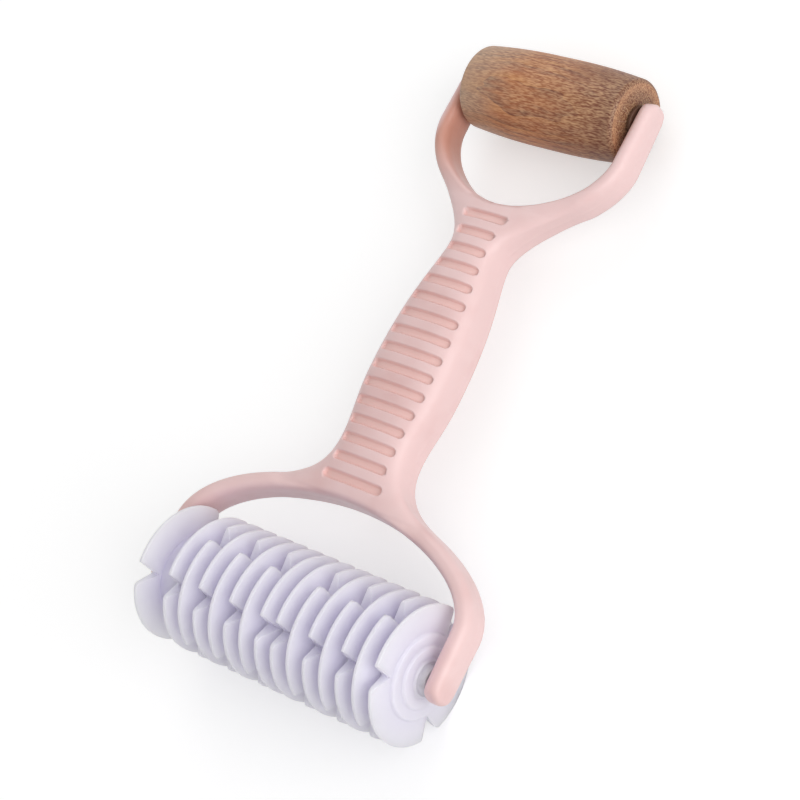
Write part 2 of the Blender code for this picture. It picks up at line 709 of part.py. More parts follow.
def build():
    """Make every piece of the roller."""
    clear_scene()
    parts = new_collection("double_ended_pastry_roller")
    cutters = new_collection("cutters")
    pink = new_material("handle_plastic", (0.87, 0.62, 0.60), 0.38)
    lavender = new_material("roller_plastic", (0.72, 0.69, 0.80), 0.42)
    wood = new_material("beech_wood", (0.43, 0.20, 0.11), 0.55)
    steel = new_material("pin_steel", (0.60, 0.60, 0.62), 0.30, 1.0)
    nylon = new_material("bush_nylon", (0.11, 0.055, 0.034), 0.50)

    frame = add_empty("tool_frame", parts, None, (0.0, LATTICE_AXLE_Y, LATTICE_AXLE_HEIGHT))
    frame.rotation_euler = (-LEAN, 0.0, 0.0)
    lattice_axis = add_empty("lattice_axis", parts, frame)
    lattice_axis.rotation_euler = (DRUM_TURN, 0.0, 0.0)
    wood_axis = add_empty("wood_axis", parts, frame, (0.0, AXLE_SPAN, 0.0))
    wood_axis.rotation_euler = (BARREL_TURN, 0.0, 0.0)

    handle = build_handle(parts, cutters, frame, pink)
    right = build_half_drum("lattice_drum_right", RIGHT_START_X, True, parts, cutters,
                            lattice_axis, lavender)
    left = build_half_drum("lattice_drum_left", LEFT_START_X, False, parts, cutters,
                           lattice_axis, lavender)
    flange = build_end_flange(parts, cutters, lattice_axis, lavender)
    barrel = build_wood_roller(parts, wood_axis, wood)
    bush_left = build_bush("wood_bush_left", -1, parts, wood_axis, nylon)
    bush_right = build_bush("wood_bush_right", 1, parts, wood_axis, nylon)
    lattice_half = LATTICE_ARM_X + LATTICE_SOCKET_DEPTH - GAP
    wood_half = WOOD_ARM_X + WOOD_SOCKET_DEPTH - GAP
    build_pin("lattice_pin", LATTICE_PIN_RADIUS, lattice_half, LATTICE_YOKE, parts, frame, steel)
    build_pin("wood_pin", WOOD_PIN_RADIUS, wood_half, WOOD_YOKE, parts, frame, steel)
    for item in (handle, right, left, flange, barrel, bush_left, bush_right):
        round_shading(item)
    bpy.context.view_layer.update()


build()
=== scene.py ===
"""Looks of the double-ended dough roller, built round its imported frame.

The tool is one pale pink moulded handle with a yoke at each end. The wide yoke holds a
lavender lattice roller made of notched wedge discs, and the narrow yoke a wooden barrel.
The fine mouldings here stand for the coarser solids of the frame.

Tool frame: X runs across along both axles, Y from the lattice axle to the wood axle, and
Z out of the grooved face of the grip. All lengths are in metres.
"""

import json
import math
from collections import namedtuple

import bmesh
import bpy
import numpy as np
from bpy.props import FloatProperty, FloatVectorProperty, IntProperty, PointerProperty
from mathutils import Matrix, Vector


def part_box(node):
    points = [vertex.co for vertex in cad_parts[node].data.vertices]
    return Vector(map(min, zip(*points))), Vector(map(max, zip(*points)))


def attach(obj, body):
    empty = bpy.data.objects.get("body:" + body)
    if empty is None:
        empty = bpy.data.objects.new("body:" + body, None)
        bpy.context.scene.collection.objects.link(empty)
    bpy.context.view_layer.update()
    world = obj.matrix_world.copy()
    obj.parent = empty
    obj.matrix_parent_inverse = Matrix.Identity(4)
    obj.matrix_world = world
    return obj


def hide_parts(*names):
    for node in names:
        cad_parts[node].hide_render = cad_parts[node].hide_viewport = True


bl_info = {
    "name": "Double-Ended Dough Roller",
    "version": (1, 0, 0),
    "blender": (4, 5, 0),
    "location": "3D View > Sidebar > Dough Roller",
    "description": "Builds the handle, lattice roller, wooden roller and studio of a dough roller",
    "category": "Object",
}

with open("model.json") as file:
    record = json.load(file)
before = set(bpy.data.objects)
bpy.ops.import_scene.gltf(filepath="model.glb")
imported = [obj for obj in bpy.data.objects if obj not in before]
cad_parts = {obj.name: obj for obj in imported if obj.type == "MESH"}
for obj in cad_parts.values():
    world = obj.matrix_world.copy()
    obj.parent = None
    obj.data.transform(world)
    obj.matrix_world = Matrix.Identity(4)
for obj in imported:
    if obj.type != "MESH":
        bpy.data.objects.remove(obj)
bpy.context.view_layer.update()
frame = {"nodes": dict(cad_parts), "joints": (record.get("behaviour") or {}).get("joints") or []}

# Places read from the frame
AXLES = {joint["name"]: Vector(joint["pos_m"]) for joint in frame["joints"]}
LATTICE_AXLE = AXLES["lattice_spin"]
WOOD_AXLE = AXLES["wood_spin"]
AXLE_SPAN = (WOOD_AXLE - LATTICE_AXLE).length
LEAN = math.asin((LATTICE_AXLE.z - WOOD_AXLE.z) / AXLE_SPAN)
TOOL = Matrix.Translation(LATTICE_AXLE) @ Matrix.Rotation(-LEAN, 4, "X")
DISC_RADIUS = LATTICE_AXLE.z   # the tool stands on both rollers
BARREL_RADIUS = WOOD_AXLE.z
ARM_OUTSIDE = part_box("handle_frame")[1].x
HUB_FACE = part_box("lattice_drum_right")[1].x
WOOD_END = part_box("wood_roller")[1].x
BUSH_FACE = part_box("wood_bush_right")[1].x
LATTICE_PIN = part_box("lattice_pin")
WOOD_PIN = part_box("wood_pin")

GAP = 0.0003                   # between pieces that touch or fit into one another
LATTICE_BORE = (LATTICE_PIN[1].z - LATTICE_PIN[0].z) / 2 + GAP
WOOD_BORE = (WOOD_PIN[1].z - WOOD_PIN[0].z) / 2 + GAP
WELD = 0.000002                # points closer than this are one
DIGITS = 7                     # places are compared to a tenth of a micrometre
FINE_ROUND = 0.0002            # rounding of a foot or a rim that is hardly seen
LEAD_ROUND = 0.0003            # rounding of an edge that leads one piece into another

# Yokes and grip, as the frame's handle has them
WOOD_ARM = 0.0056              # thickness of a wood arm
WOOD_ARM_TIP = 0.0052          # and at its tip
LATTICE_TIP = 0.0062           # how far an arm's tip stands past its axle
WOOD_TIP = 0.0070
LATTICE_STRAIGHT = 0.0156      # from an axle back to where its arms begin to curve
WOOD_STRAIGHT = 0.0164
LATTICE_CROWN = 0.0248         # from there to the middle of the yoke's inner edge
WOOD_CROWN = 0.0240
LATTICE_POWER = 1.88           # fullness of that edge, 2 being an ellipse
WOOD_POWER = 1.78
LOW_NECK = (0.192, 0.0136)     # share of the way between the crowns, and half width there
BELLY = (0.404, 0.0156)
HIGH_NECK = (0.837, 0.0094)
FLARE_ANGLE = (math.radians(53.0), math.radians(41.0))     # where a yoke meets the grip outside
CORNER_ANGLE = math.radians(68.0)      # and inside, as yoke_edge counts it
TANGENT_TURN = 0.004           # turn between the points that show how a yoke's edge runs
CROWN_TOP = 0.0071             # heights of the two faces beside the crowns
CROWN_BOTTOM = 0.0065
DOME_POWER = 0.6               # below 1, the grip rises soon from its crowns
GRIP_POWER = 2.8               # fullness of the grip's section, 2 being an ellipse
ARM_POWER = 2.3
GRIP_RIM = 0.0033              # half the height of the grip's upright side
ARM_RIM = 0.0023               # and of an arm's
HOLE_EDGE_RADIUS = 0.0024      # rounding of the crowns' inner edges
BLEND_LENGTH = 0.0130          # the grip's section turns into an arm's over this
ARM_TAPER_LENGTH = 0.0220      # an arm loses height over this, up to its tip
ARM_TIP_REACH = 0.0055         # its two faces meet in a half round over this
ARM_TIP_FLOOR = 0.15           # share of the height that is left at the very tip
ARM_TIP_POWER = 2.0            # the half round is an ellipse

# How far the outline's curves are led on: at the necks, towards the lattice yoke and
# elsewhere, at the outsides of the lattice and wood yokes, and below and above the belly
NECK_PULL = (0.0144, 0.0077)
FLARE_PULL = (0.0096, 0.0056)
BELLY_PULL = (0.0110, 0.0288)

# Grooves
GROOVE_SHARE = 0.82            # of the grip's width, there or a pitch nearer the belly
FIRST_GROOVE = 0.0064          # past the lattice crown's edge
GROOVE_WALL = 0.0009           # how far a groove's scooped wall runs in
GROOVE_EASE = 0.0002           # rounding of its rim, outside the groove
GROOVE_LAYER = "groove"        # mesh attribute, 1 on a groove's floor and 0 outside it

# Parting line of the handle's mould, a faint ridge round its edge
PARTING_RISE = 0.00003
PARTING_HALF_WIDTH = 0.00018
PARTING_CUTS = 5               # rings of points on the handle's edge, the middle one raised

# Fineness of the handle's surface
ARM_BANDS = 22                 # across an arm
FLARE_STEPS = 14
ARM_STEPS = 40                 # along a yoke's curve
STRAIGHT_STEPS = 8
TIP_STEPS = 14
OUTLINE_STEPS = 60             # along each curve of the grip's outline
WALL_STEPS = 8                 # along the grip in each wall of a groove
MIDDLE_SHARES = (0.09, 6)      # across the half grip: step and count in its middle,
END_SHARES = (0.52, 0.0139, 23)        # start, step and count where the grooves end
FLANK_SHARES = (0.16, 1.5, 9)  # and width, power and count at its edge

# Fineness of the turned pieces, and the angle from which an edge shows as a crease
ROUND_STEPS = 4                # in a rounding
NOTCH_STEPS = 6                # in the rounded corner of a notch
SOCKET_TURNS = 48              # round a pin's socket
DRUM_TURNS = 144               # round the lattice roller
BARREL_TURNS = 160             # round the wooden barrel
BUSH_TURNS = 72
SHOULDER_STEPS = 12            # over the barrel's shoulder
BARREL_STEPS = 24              # and from there to the barrel's middle
HANDLE_CREASE = 50.0
LATTICE_CREASE = 30.0
WOOD_CREASE = 40.0

# Lattice roller
HALF_DISCS = 7
NOTCH_COUNT = 3
NOTCH_ANGLE = math.radians(111.0)      # first notch of the end discs, from +Y towards +Z
CORE_RADIUS = 0.0143           # of the half drums' hollow core, that carries the discs
CORE_WALL = 0.0026
WEB = 0.0030                   # floor of a half drum's cup
SPIGOT_LENGTH = 0.0040         # of the ring that enters the next piece's cup
SPIGOT_WALL = 0.0030
HUB_WALL = 0.0029              # of the tube round the pin inside the cup
# Radius and height of the steps on the outer face of each end disc
HUB_STEPS = ((0.0138, 0.0011), (0.0099, 0.0009), (0.0058, 0.0008), (0.0045, 0.0021))
HUB_ROUND = 0.00045            # rounding of the hub's steps
HUB_DRAFT = 0.0005             # a step is this much wider at its foot than at its rim
NOTCH_ROOT_FLAT = 0.0003       # width of a notch at its root
NOTCH_REACH = 0.0276           # a cutter ends this far from the axle
NOTCH_CORNER = 0.0018          # rounding of one of a notch's two corners, the other is sharp
NOTCH_CLEAR = 0.0060           # how far a cutter runs on past the rounded corner

# Wooden roller and its bushes
WOOD_LAND = 0.0100             # the barrel's straight middle
BUSH_WALL = 0.0023
BUSH_LENGTH = 0.0080
BUSH_FLANGE_RADIUS = 0.0056

# Figure of the wood, and its tones: where along the barrel each starts and is full
PITH_SHIFT = Vector((0.0, -0.010, 0.024))      # the log's pith lies this far off the axle
PITH_TURN = (0.0, math.radians(3.0), math.radians(-4.0))
PITH_STRETCH = (0.3, 1.0, 1.0)         # the rings are drawn out along the grain
RING_WIDTH = 0.0017
RING_SCALE = 0.314             # scale at which a wave texture's rings are a metre wide
GRAIN_TURN = (0.0, 0.0, math.radians(5.0))     # the grain runs a little across the axle
TONE_DRIFT = 0.022             # heartwood and sapwood end unevenly, by up to this
HEART_SPAN = (0.012, 0.038)
# painted sheen on the left end of the barrel
PAINTED_SHEEN_SPAN = (0.002, -0.022)
END_FACE_SPAN = (0.00012, 0.00002)     # this far inside the end's plane

# Painted shade, warm with bounce light from the wooden roller, on the left arm beside it
PAINTED_SHADE_DEPTH = (0.0018, 0.0048)         # where it fades, from the arm's inner face outwards
PAINTED_SHADE_REACH = (0.0440, 0.0220)         # where it starts and is full, back from the axle

# Noise textures, in cells to the metre
CLOUD_SCALE = 38.0             # the plastics' clouding, in patches of 26 mm
PATCH_SCALE = 55.0             # patches of darker and paler wood, of 18 mm
STREAK_SCALE = 50.0            # streaks in the wood, 20 mm long
STREAK_STRETCH = (1.0, 7.0, 7.0)       # and 3 mm wide
PORE_SCALE = 260.0             # pores and flecks, drawn wider than life so that they show:
PORE_STRETCH = (1.5, 8.0, 8.0)         # 2.6 mm long and 0.5 mm wide
STEEL_STRETCH = (60.0, 2000.0, 2000.0)         # drawing lines, 17 mm long and 0.5 mm wide
GLOSS_SPREAD = 0.05            # the plastics' roughness varies by this

# Floor and softboxes, each of these with its place and its side
FLOOR_CELLS = 8
KEY_SOFTBOX = ((1.52, 0.00, 0.80), 1.60)
FILL_SOFTBOX = ((-0.45, 0.70, 0.62), 0.70)

# Camera, fitted to the photograph in the frame's own coordinates
CAMERA_PLACE = Vector((0.47803, -0.11519, 0.62671))
CAMERA_AIM = Vector((-0.00351, -0.01276, 0.02))
CAMERA_ROLL = math.radians(55.363)
CAMERA_LENS = 109.2
SENSOR_WIDTH = 36.0
NEAR_CLIP = 0.01

Yoke = namedtuple("Yoke", "axle towards inner arm arm_tip tip straight crown power "
                          "neck flare_pull neck_pull flare_angle")


def linear(hex_colour):
    """Linear colour, without alpha, from an sRGB hex value."""
    channels = [int(hex_colour[place:place + 2], 16) / 255 for place in (0, 2, 4)]
    return tuple(value / 12.92 if value <= 0.04045 else ((value + 0.055) / 1.055) ** 2.4
                 for value in channels)


def length(name, description, default):
    """Property that holds a length in metres."""
    return FloatProperty(name=name, description=description, default=default, min=0.0,
                         precision=5, unit="LENGTH")


def colour(name, description, hex_colour):
    """Property that holds a colour."""
    return FloatVectorProperty(name=name, description=description, subtype="COLOR",
                               default=linear(hex_colour), min=0.0, max=1.0)


class DoughRollerHandle(bpy.types.PropertyGroup):
    """Sizes and colours of the moulded handle."""

    arm: length("Arm thickness", "Thickness of a lattice arm, across the tool", 0.0061)
    arm_half_height: length("Arm half height", "Half the height of both yokes' arms", 0.0063)
    tip_half_height: length("Tip half height", "Half the height of an arm's tip", 0.0055)
    edge_radius: length("Edge radius", "Rounding along the edges of the arms", 0.0028)
    corner_radius: length("Tip corner", "Corner of an arm's tip, seen from above", 0.0023)
    grip_top: length("Grip top", "Height of the grip's grooved face over the axles", 0.0123)
    grip_bottom: length("Grip bottom", "Depth of the grip's plain face", 0.0060)
    groove_count: IntProperty(name="Grooves", description="Grooves across the grip",
                              default=16, min=1)
    groove_pitch: length("Groove pitch", "From one groove to the next", 0.00643)
    groove_width: length("Groove width", "Width of a groove at its rim", 0.0033)
    groove_depth: length("Groove depth", "Depth of a groove's floor", 0.0015)
    light: colour("Plastic", "Pale pink of the moulded plastic", "EDCDCB")
    deep: colour("Plastic, deep", "Pink in the hollows and thick places", "E4BEBB")
    # painted shade, warmed by inter-reflection, laid inside the grooves
    groove: colour("Plastic, grooves", "Warmer pink inside the grooves", "EEC7C1")
    # painted shade, warm with the barrel's bounce light, on the left arm's inner face
    painted_shade: colour("Stain", "Where the oiled wood turns beside the left arm", "CC9584")


class DoughRollerLattice(bpy.types.PropertyGroup):
    """Sizes and colours of the lattice roller."""

    disc_pitch: length("Disc pitch", "From one wedge disc to the next", 0.00685)
    disc_tip: length("Disc rim", "Width of a disc at its rim", 0.0012)
    disc_root: length("Disc root", "Width of a disc at the core", 0.0055)
    notch_apex: length("Notch root", "Distance of a notch's root from the axle", 0.0154)
    notch_half_angle: FloatProperty(name="Notch half angle",
                                    description="Half of a notch's width at the rim",
                                    default=math.radians(9.3), subtype="ANGLE")
    rim_round: length("Rim rounding", "Rounding along a disc's rim", 0.00030)
    light: colour("Plastic", "Lavender white of the moulded plastic", "E4E0F2")
    deep: colour("Plastic, deep", "Lavender in the hollows", "DFDBEE")


class DoughRollerWood(bpy.types.PropertyGroup):
    """Sizes and colours of the wooden roller."""

    end_radius: length("End radius", "Radius where the barrel meets its shoulder", 0.0140)
    shoulder: length("Shoulder", "Rounding of the barrel's ends", 0.0018)
    light: colour("Wood, light", "Pale wood between the rings", "CD8B52")
    middle: colour("Wood, middle", "Main tone of the wood", "B56C3E")
    dark: colour("Wood, dark", "Late wood and open pores", "6B3620")
    # heartwood tone, also laid as painted shade in the right shoulder
    heart_and_shade: colour("Heartwood", "Darker wood at the right end", "633422")
    # painted sheen: paler, greyer wood at the left end
    painted_sheen: colour("Sapwood", "Paler, greyer wood at the left end", "BAA794")
    face: colour("End grain", "Warm brown of the two end faces", "B67F5C")
    fleck: colour("Fleck", "Pale flecks between the pores", "E0B68C")
    # partly the bushes' own brown and partly painted shade of the gaps between the arms and the
    # barrel's ends
    nylon: colour("Bush", "Brown nylon of the bushes", "5E4234")
    steel: colour("Pin", "Bare steel of the pins", "B9B9BC")


class DoughRollerStage(bpy.types.PropertyGroup):
    """Floor and light of the studio."""

    floor_size: length("Floor", "Side of the floor", 6.0)
    floor: colour("Floor", "Pale grey of the floor", "DADADA")
    floor_lift: FloatProperty(name="Floor lift", description="Glow of the floor for the eye",
                              default=0.46, min=0.0)
    key: FloatProperty(name="Key light", description="Power of the key light",
                       default=20.0, min=0.0, subtype="POWER")
    fill: FloatProperty(name="Fill light", description="Power of the fill light",
                        default=1.5, min=0.0, subtype="POWER")
    sky: FloatProperty(name="Sky", description="Strength of the light from all round",
                       default=0.52, min=0.0)


# Mesh helpers


def finish_mesh(name, bm, place=None):
    """Turn a bmesh into an object whose place is in its mesh."""
    if place is not None:
        bmesh.ops.transform(bm, matrix=place, verts=bm.verts)
    bmesh.ops.recalc_face_normals(bm, faces=bm.faces[:])
    mesh = bpy.data.meshes.new(name)
    bm.to_mesh(mesh)
    bm.free()
    mesh.shade_smooth()
    item = bpy.data.objects.new(name, mesh)
    bpy.context.scene.collection.objects.link(item)
    return item


def points_of(parts):
    """The vertices among the parts that a bmesh operator made."""
    return [part for part in parts if isinstance(part, bmesh.types.BMVert)]


def carve(item, cutter):
    """Cut another object out of this one and drop it."""
    modifier = item.modifiers.new("Cut", "BOOLEAN")
    modifier.operation = "DIFFERENCE"
    modifier.solver = "EXACT"
    modifier.object = cutter
    shown = item.evaluated_get(bpy.context.evaluated_depsgraph_get())
    carved = bpy.data.meshes.new_from_object(shown)
    item.modifiers.clear()
    old = item.data
    name = old.name
    item.data = carved
    bpy.data.meshes.remove(old)
    carved.name = name
    bpy.data.objects.remove(cutter, do_unlink=True)


def smooth_under(item, degrees):
    """Shade smooth, with a crease where faces turn by more than this."""
    item.data.shade_smooth()
    item.data.set_sharp_from_angle(angle=math.radians(degrees))


def rounded(corners, steps=ROUND_STEPS):
    """Outline through corners given as (radius, along, rounding), each cut back to a curve."""
    points = []
    count = len(corners)
    for place, (radius, along, reach) in enumerate(corners):
        corner = Vector((radius, along))
        if reach == 0:
            points.append(corner)
            continue
        before = Vector(corners[place - 1][:2])
        after = Vector(corners[(place + 1) % count][:2])
        start = corner + (before - corner).normalized() * reach
        end = corner + (after - corner).normalized() * reach
        for step in range(steps + 1):
            share = step / steps
            points.append(start * (1 - share) ** 2 + corner * 2 * share * (1 - share)
                          + end * share ** 2)
    return points


def turned(outline, steps):
    """Closed outline of (radius, along) points, spun about the X axis."""
    bm = bmesh.new()
    ring = [bm.verts.new((along, radius, 0.0)) for radius, along in outline]
    edges = [bm.edges.new(pair) for pair in zip(ring, ring[1:] + ring[:1])]
    bmesh.ops.spin(bm, geom=ring + edges, cent=(0.0, 0.0, 0.0), axis=(1.0, 0.0, 0.0),
                   dvec=(0.0, 0.0, 0.0), angle=math.tau, steps=steps, use_merge=True)
    bmesh.ops.remove_doubles(bm, verts=bm.verts, dist=WELD)
    return bm


def dress(item, body, material, node):
    """Give a piece its material, body and slot, and let it stand for its frame node."""
    item.data.materials.clear()
    item.data.materials.append(material)
    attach(item, body)
    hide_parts(node)


# Outline of the handle, seen from above


def make_yokes(sizes):
    """Both yokes, sized from the frame and the handle's settings."""
    lattice = Yoke(0.0, -1, ARM_OUTSIDE - sizes.arm, sizes.arm, sizes.arm, LATTICE_TIP,
                   LATTICE_STRAIGHT, LATTICE_CROWN, LATTICE_POWER,
                   LOW_NECK, FLARE_PULL[0], NECK_PULL[0], FLARE_ANGLE[0])
    wood = Yoke(AXLE_SPAN, 1, BUSH_FACE + GAP, WOOD_ARM, WOOD_ARM_TIP, WOOD_TIP,
                WOOD_STRAIGHT, WOOD_CROWN, WOOD_POWER,
                HIGH_NECK, FLARE_PULL[1], NECK_PULL[1], FLARE_ANGLE[1])
    return lattice, wood


def yoke_edge(yoke, angle):
    """Point of a yoke's inner edge: 0 at the arm, a quarter turn at the crown's middle."""
    share = 2.0 / yoke.power
    across = yoke.inner * max(math.cos(angle), 0.0) ** share
    back = yoke.straight + yoke.crown * max(math.sin(angle), 0.0) ** share
    return Vector((across, yoke.axle - yoke.towards * back))


def yoke_outside(yoke, angle):
    """Point one arm thickness outside the yoke's inner edge, with the way it runs there."""
    ahead = yoke_edge(yoke, angle + TANGENT_TURN)
    behind = yoke_edge(yoke, max(angle - TANGENT_TURN, 0.0))
    run = (ahead - behind).normalized()
    outward = Vector((run.y, -run.x)) * -yoke.towards
    return yoke_edge(yoke, angle) + outward * yoke.arm, run


def bezier(points, share):
    """Point at a share of the way along a cubic curve."""
    first, second, third, last = points
    rest = 1.0 - share
    return (first * rest ** 3 + second * 3 * rest ** 2 * share
            + third * 3 * rest * share ** 2 + last * share ** 3)


def crown_places(yokes):
    """Where the inner edges of the two crowns lie along the tool."""
    return (yokes[0].straight + yokes[0].crown,
            AXLE_SPAN - yokes[1].straight - yokes[1].crown)


def grip_point(place, yokes):
    """Point on the grip's outline from its place between the crowns and its half width."""
    low, high = crown_places(yokes)
    return Vector((place[1], low + place[0] * (high - low)))


def flare_curve(yoke, yokes):
    """Curve from the outside of a yoke arm to the nearest neck of the grip."""
    start, run = yoke_outside(yoke, yoke.flare_angle)
    neck = grip_point(yoke.neck, yokes)
    return (start, start + run * yoke.flare_pull,
            neck + Vector((0.0, yoke.towards * yoke.neck_pull)), neck)


def side_outline(yokes):
    """Outline of the grip from the lattice flare's middle to the wood flare's middle."""
    belly = grip_point(BELLY, yokes)
    low_neck = grip_point(LOW_NECK, yokes)
    high_neck = grip_point(HIGH_NECK, yokes)
    curves = ((flare_curve(yokes[0], yokes), 0.5, 1.0),
              ((low_neck, low_neck + Vector((0.0, NECK_PULL[1])),
                belly - Vector((0.0, BELLY_PULL[0])), belly), 0.0, 1.0),
              ((belly, belly + Vector((0.0, BELLY_PULL[1])),
                high_neck - Vector((0.0, NECK_PULL[1])), high_neck), 0.0, 1.0),
              (flare_curve(yokes[1], yokes), 1.0, 0.5))
    points = []
    for curve, first, last in curves:
        points += [bezier(curve, first + (last - first) * step / OUTLINE_STEPS)
                   for step in range(OUTLINE_STEPS)]
    points.append(bezier(curves[-1][0], 0.5))
    return points


def half_widths(places, side):
    """Half the grip's width at places along it, from the outline of its side."""
    return np.interp(places, [point.y for point in side], [point.x for point in side])


def arm_rows(yoke, yokes, sizes):
    """Pairs of inner and outer points, from beside the grip's corner to the arm's tip."""
    rows = []
    flare = flare_curve(yoke, yokes)
    for step in range(1, FLARE_STEPS + 1):
        share = step / FLARE_STEPS
        angle = CORNER_ANGLE + (yoke.flare_angle - CORNER_ANGLE) * share
        rows.append((yoke_edge(yoke, angle), bezier(flare, 0.5 - 0.5 * share)))
    for step in range(1, ARM_STEPS + 1):
        angle = yoke.flare_angle * (1.0 - step / ARM_STEPS)
        rows.append((yoke_edge(yoke, angle), yoke_outside(yoke, angle)[0]))
    tip_y = yoke.axle + yoke.towards * yoke.tip
    bend_y = yoke.axle - yoke.towards * yoke.straight
    corner = sizes.corner_radius
    straight_end = tip_y - yoke.towards * ARM_TIP_REACH
    stops = [bend_y + (straight_end - bend_y) * step / STRAIGHT_STEPS
             for step in range(1, STRAIGHT_STEPS + 1)]
    for step in range(1, TIP_STEPS + 1):
        short = 1.0 - math.sin(math.pi / 2 * step / TIP_STEPS)
        stops.append(tip_y - yoke.towards * ARM_TIP_REACH * short)
    for along in stops:
        share = (along - bend_y) / (tip_y - bend_y)
        thick = yoke.arm + (yoke.arm_tip - yoke.arm) * share
        depth = max(corner - abs(tip_y - along), 0.0)
        pinch = corner - math.sqrt(corner ** 2 - depth ** 2)
        rows.append((Vector((yoke.inner + pinch, along)),
                     Vector((yoke.inner + thick - pinch, along))))
    return rows


def arm_shares():
    """Places across an arm, from 0 to 1, close together in its two rounded edges."""
    return [(1.0 - math.cos(math.pi * step / ARM_BANDS)) / 2 for step in range(ARM_BANDS + 1)]


def grip_shares():
    """Places across the half grip, close together at the grooves' round ends and the edge."""
    step, count = MIDDLE_SHARES
    shares = [step * place for place in range(count)]
    start, step, count = END_SHARES
    shares += [start + step * place for place in range(count)]
    width, power, count = FLANK_SHARES
    return shares + [1.0 - width * (1.0 - place / count) ** power for place in range(count + 1)]


def groove_places(sizes, yokes):
    """Where the grooves' middles lie along the tool."""
    first = crown_places(yokes)[0] + FIRST_GROOVE
    return [first + sizes.groove_pitch * count for count in range(sizes.groove_count)]


def grip_rows(sizes, yokes, first, last):
    """Places along the grip, close together in the grooves' walls."""
    start = sizes.groove_width / 2 + GROOVE_EASE
    walls = [start + GROOVE_WALL / 2]
    walls += [start - GROOVE_WALL * step / WALL_STEPS for step in range(WALL_STEPS + 1)]
    rows = {first, last}
    for middle in groove_places(sizes, yokes):
        stops = [0.0, sizes.groove_pitch / 2] + walls + [-wall for wall in walls]
        rows.update(round(middle + stop, DIGITS) for stop in stops)
    return sorted(row for row in rows if first <= row <= last)


# Heights of the handle's two faces


def dome(along, crown, middle, yokes):
    """Height on the grip's centre line: low at both crowns, full between them."""
    low, high = crown_places(yokes)
    share = np.clip((along - low) / (high - low), 0.0, 1.0)
    return crown + (middle - crown) * np.sin(math.pi * share) ** DOME_POWER


def rounding(distance, reach, power):
    """Rise from an edge, 0 on it and 1 from the reach inwards; a power of 2 gives an ellipse."""
    share = np.minimum(distance / reach, 1.0)
    return (1.0 - (1.0 - share) ** power) ** (1.0 / power)


def distance_to(line, points):
    """Shortest distance from each point to a line of straight stretches."""
    line = np.array(line)
    runs = np.diff(line, axis=0)
    offset = points[:, None, :] - line[None, :-1, :]
    share = np.clip((offset * runs).sum(2) / (runs ** 2).sum(1), 0.0, 1.0)
    gap = offset - share[..., None] * runs
    return np.sqrt((gap ** 2).sum(2).min(1))


def smooth_step(share):
    """Ease from 0 to 1."""
    share = np.clip(share, 0.0, 1.0)
    return share * share * (3.0 - 2.0 * share)


def between(first, second, share):
    """Value a share of the way from the first to the second."""
    return first * (1.0 - share) + second * share


def groove_sink(points, side, sizes, yokes):
    """Depth of the grooves at each point: walls that ease in from a round-ended rim."""
    radius = sizes.groove_width / 2
    belly = grip_point(BELLY, yokes).y
    sink = np.zeros(len(points))
    for middle in groove_places(sizes, yokes):
        inwards = math.copysign(sizes.groove_pitch, belly - middle)
        reach = half_widths([middle, middle + inwards], side).min() * GROOVE_SHARE - radius
        across = np.maximum(np.abs(points[:, 0]) - reach, 0.0)
        inside = radius - np.hypot(across, points[:, 1] - middle)
        sink += sizes.groove_depth * smooth_step((inside + GROOVE_EASE) / GROOVE_WALL)
    return sink


def face_heights(points, outline, sizes, yokes):
    """Heights of the top and bottom faces over points of the plan."""
    outer, holes, side = outline
    belly = grip_point(BELLY, yokes).y
    corner = np.where(points[:, 1] < belly, side[0].x, side[-1].x)
    blend = smooth_step((points[:, 0] - corner) / BLEND_LENGTH)
    rim = between(GRIP_RIM, ARM_RIM, blend)
    power = between(GRIP_POWER, ARM_POWER, blend)
    reach = between(half_widths(points[:, 1], side), sizes.edge_radius, blend)
    hole_reach = between(HOLE_EDGE_RADIUS, sizes.edge_radius, blend)
    rise = rounding(distance_to(outer, points), reach, power)
    for hole in holes:
        rise = rise * rounding(distance_to(hole, points), hole_reach, power)
    tip_left = np.minimum(points[:, 1] + yokes[0].tip, AXLE_SPAN + yokes[1].tip - points[:, 1])
    fall = rounding(np.maximum(tip_left, 0.0), ARM_TIP_REACH, ARM_TIP_POWER)
    fall = ARM_TIP_FLOOR + (1.0 - ARM_TIP_FLOOR) * fall
    taper = np.clip(1.0 - tip_left / ARM_TAPER_LENGTH, 0.0, 1.0)
    arm_height = between(sizes.arm_half_height, sizes.tip_half_height, taper)
    heights = []
    for crown, middle in ((CROWN_TOP, sizes.grip_top), (CROWN_BOTTOM, sizes.grip_bottom)):
        full = between(dome(points[:, 1], crown, middle, yokes), arm_height, blend)
        heights.append((rim + (full - rim) * rise) * fall)
    heights[0] = heights[0] - groove_sink(points, side, sizes, yokes)
    return heights


def handle_outline(sizes, yokes):
    """The handle's outer edge, its two yoke edges and the grip's side, at positive X."""
    low = arm_rows(yokes[0], yokes, sizes)
    high = arm_rows(yokes[1], yokes, sizes)
    side = side_outline(yokes)
    outer = [low[-1][0]] + [row[1] for row in reversed(low)] + side
    outer = outer + [row[1] for row in high] + [high[-1][0]]
    holes = []
    for yoke, rows in zip(yokes, (low, high)):
        turn = math.pi / 2 - CORNER_ANGLE
        crown = [yoke_edge(yoke, math.pi / 2 - turn * step / FLARE_STEPS)
                 for step in range(FLARE_STEPS + 1)]
        holes.append(crown + [row[0] for row in rows])
    return outer, holes, side


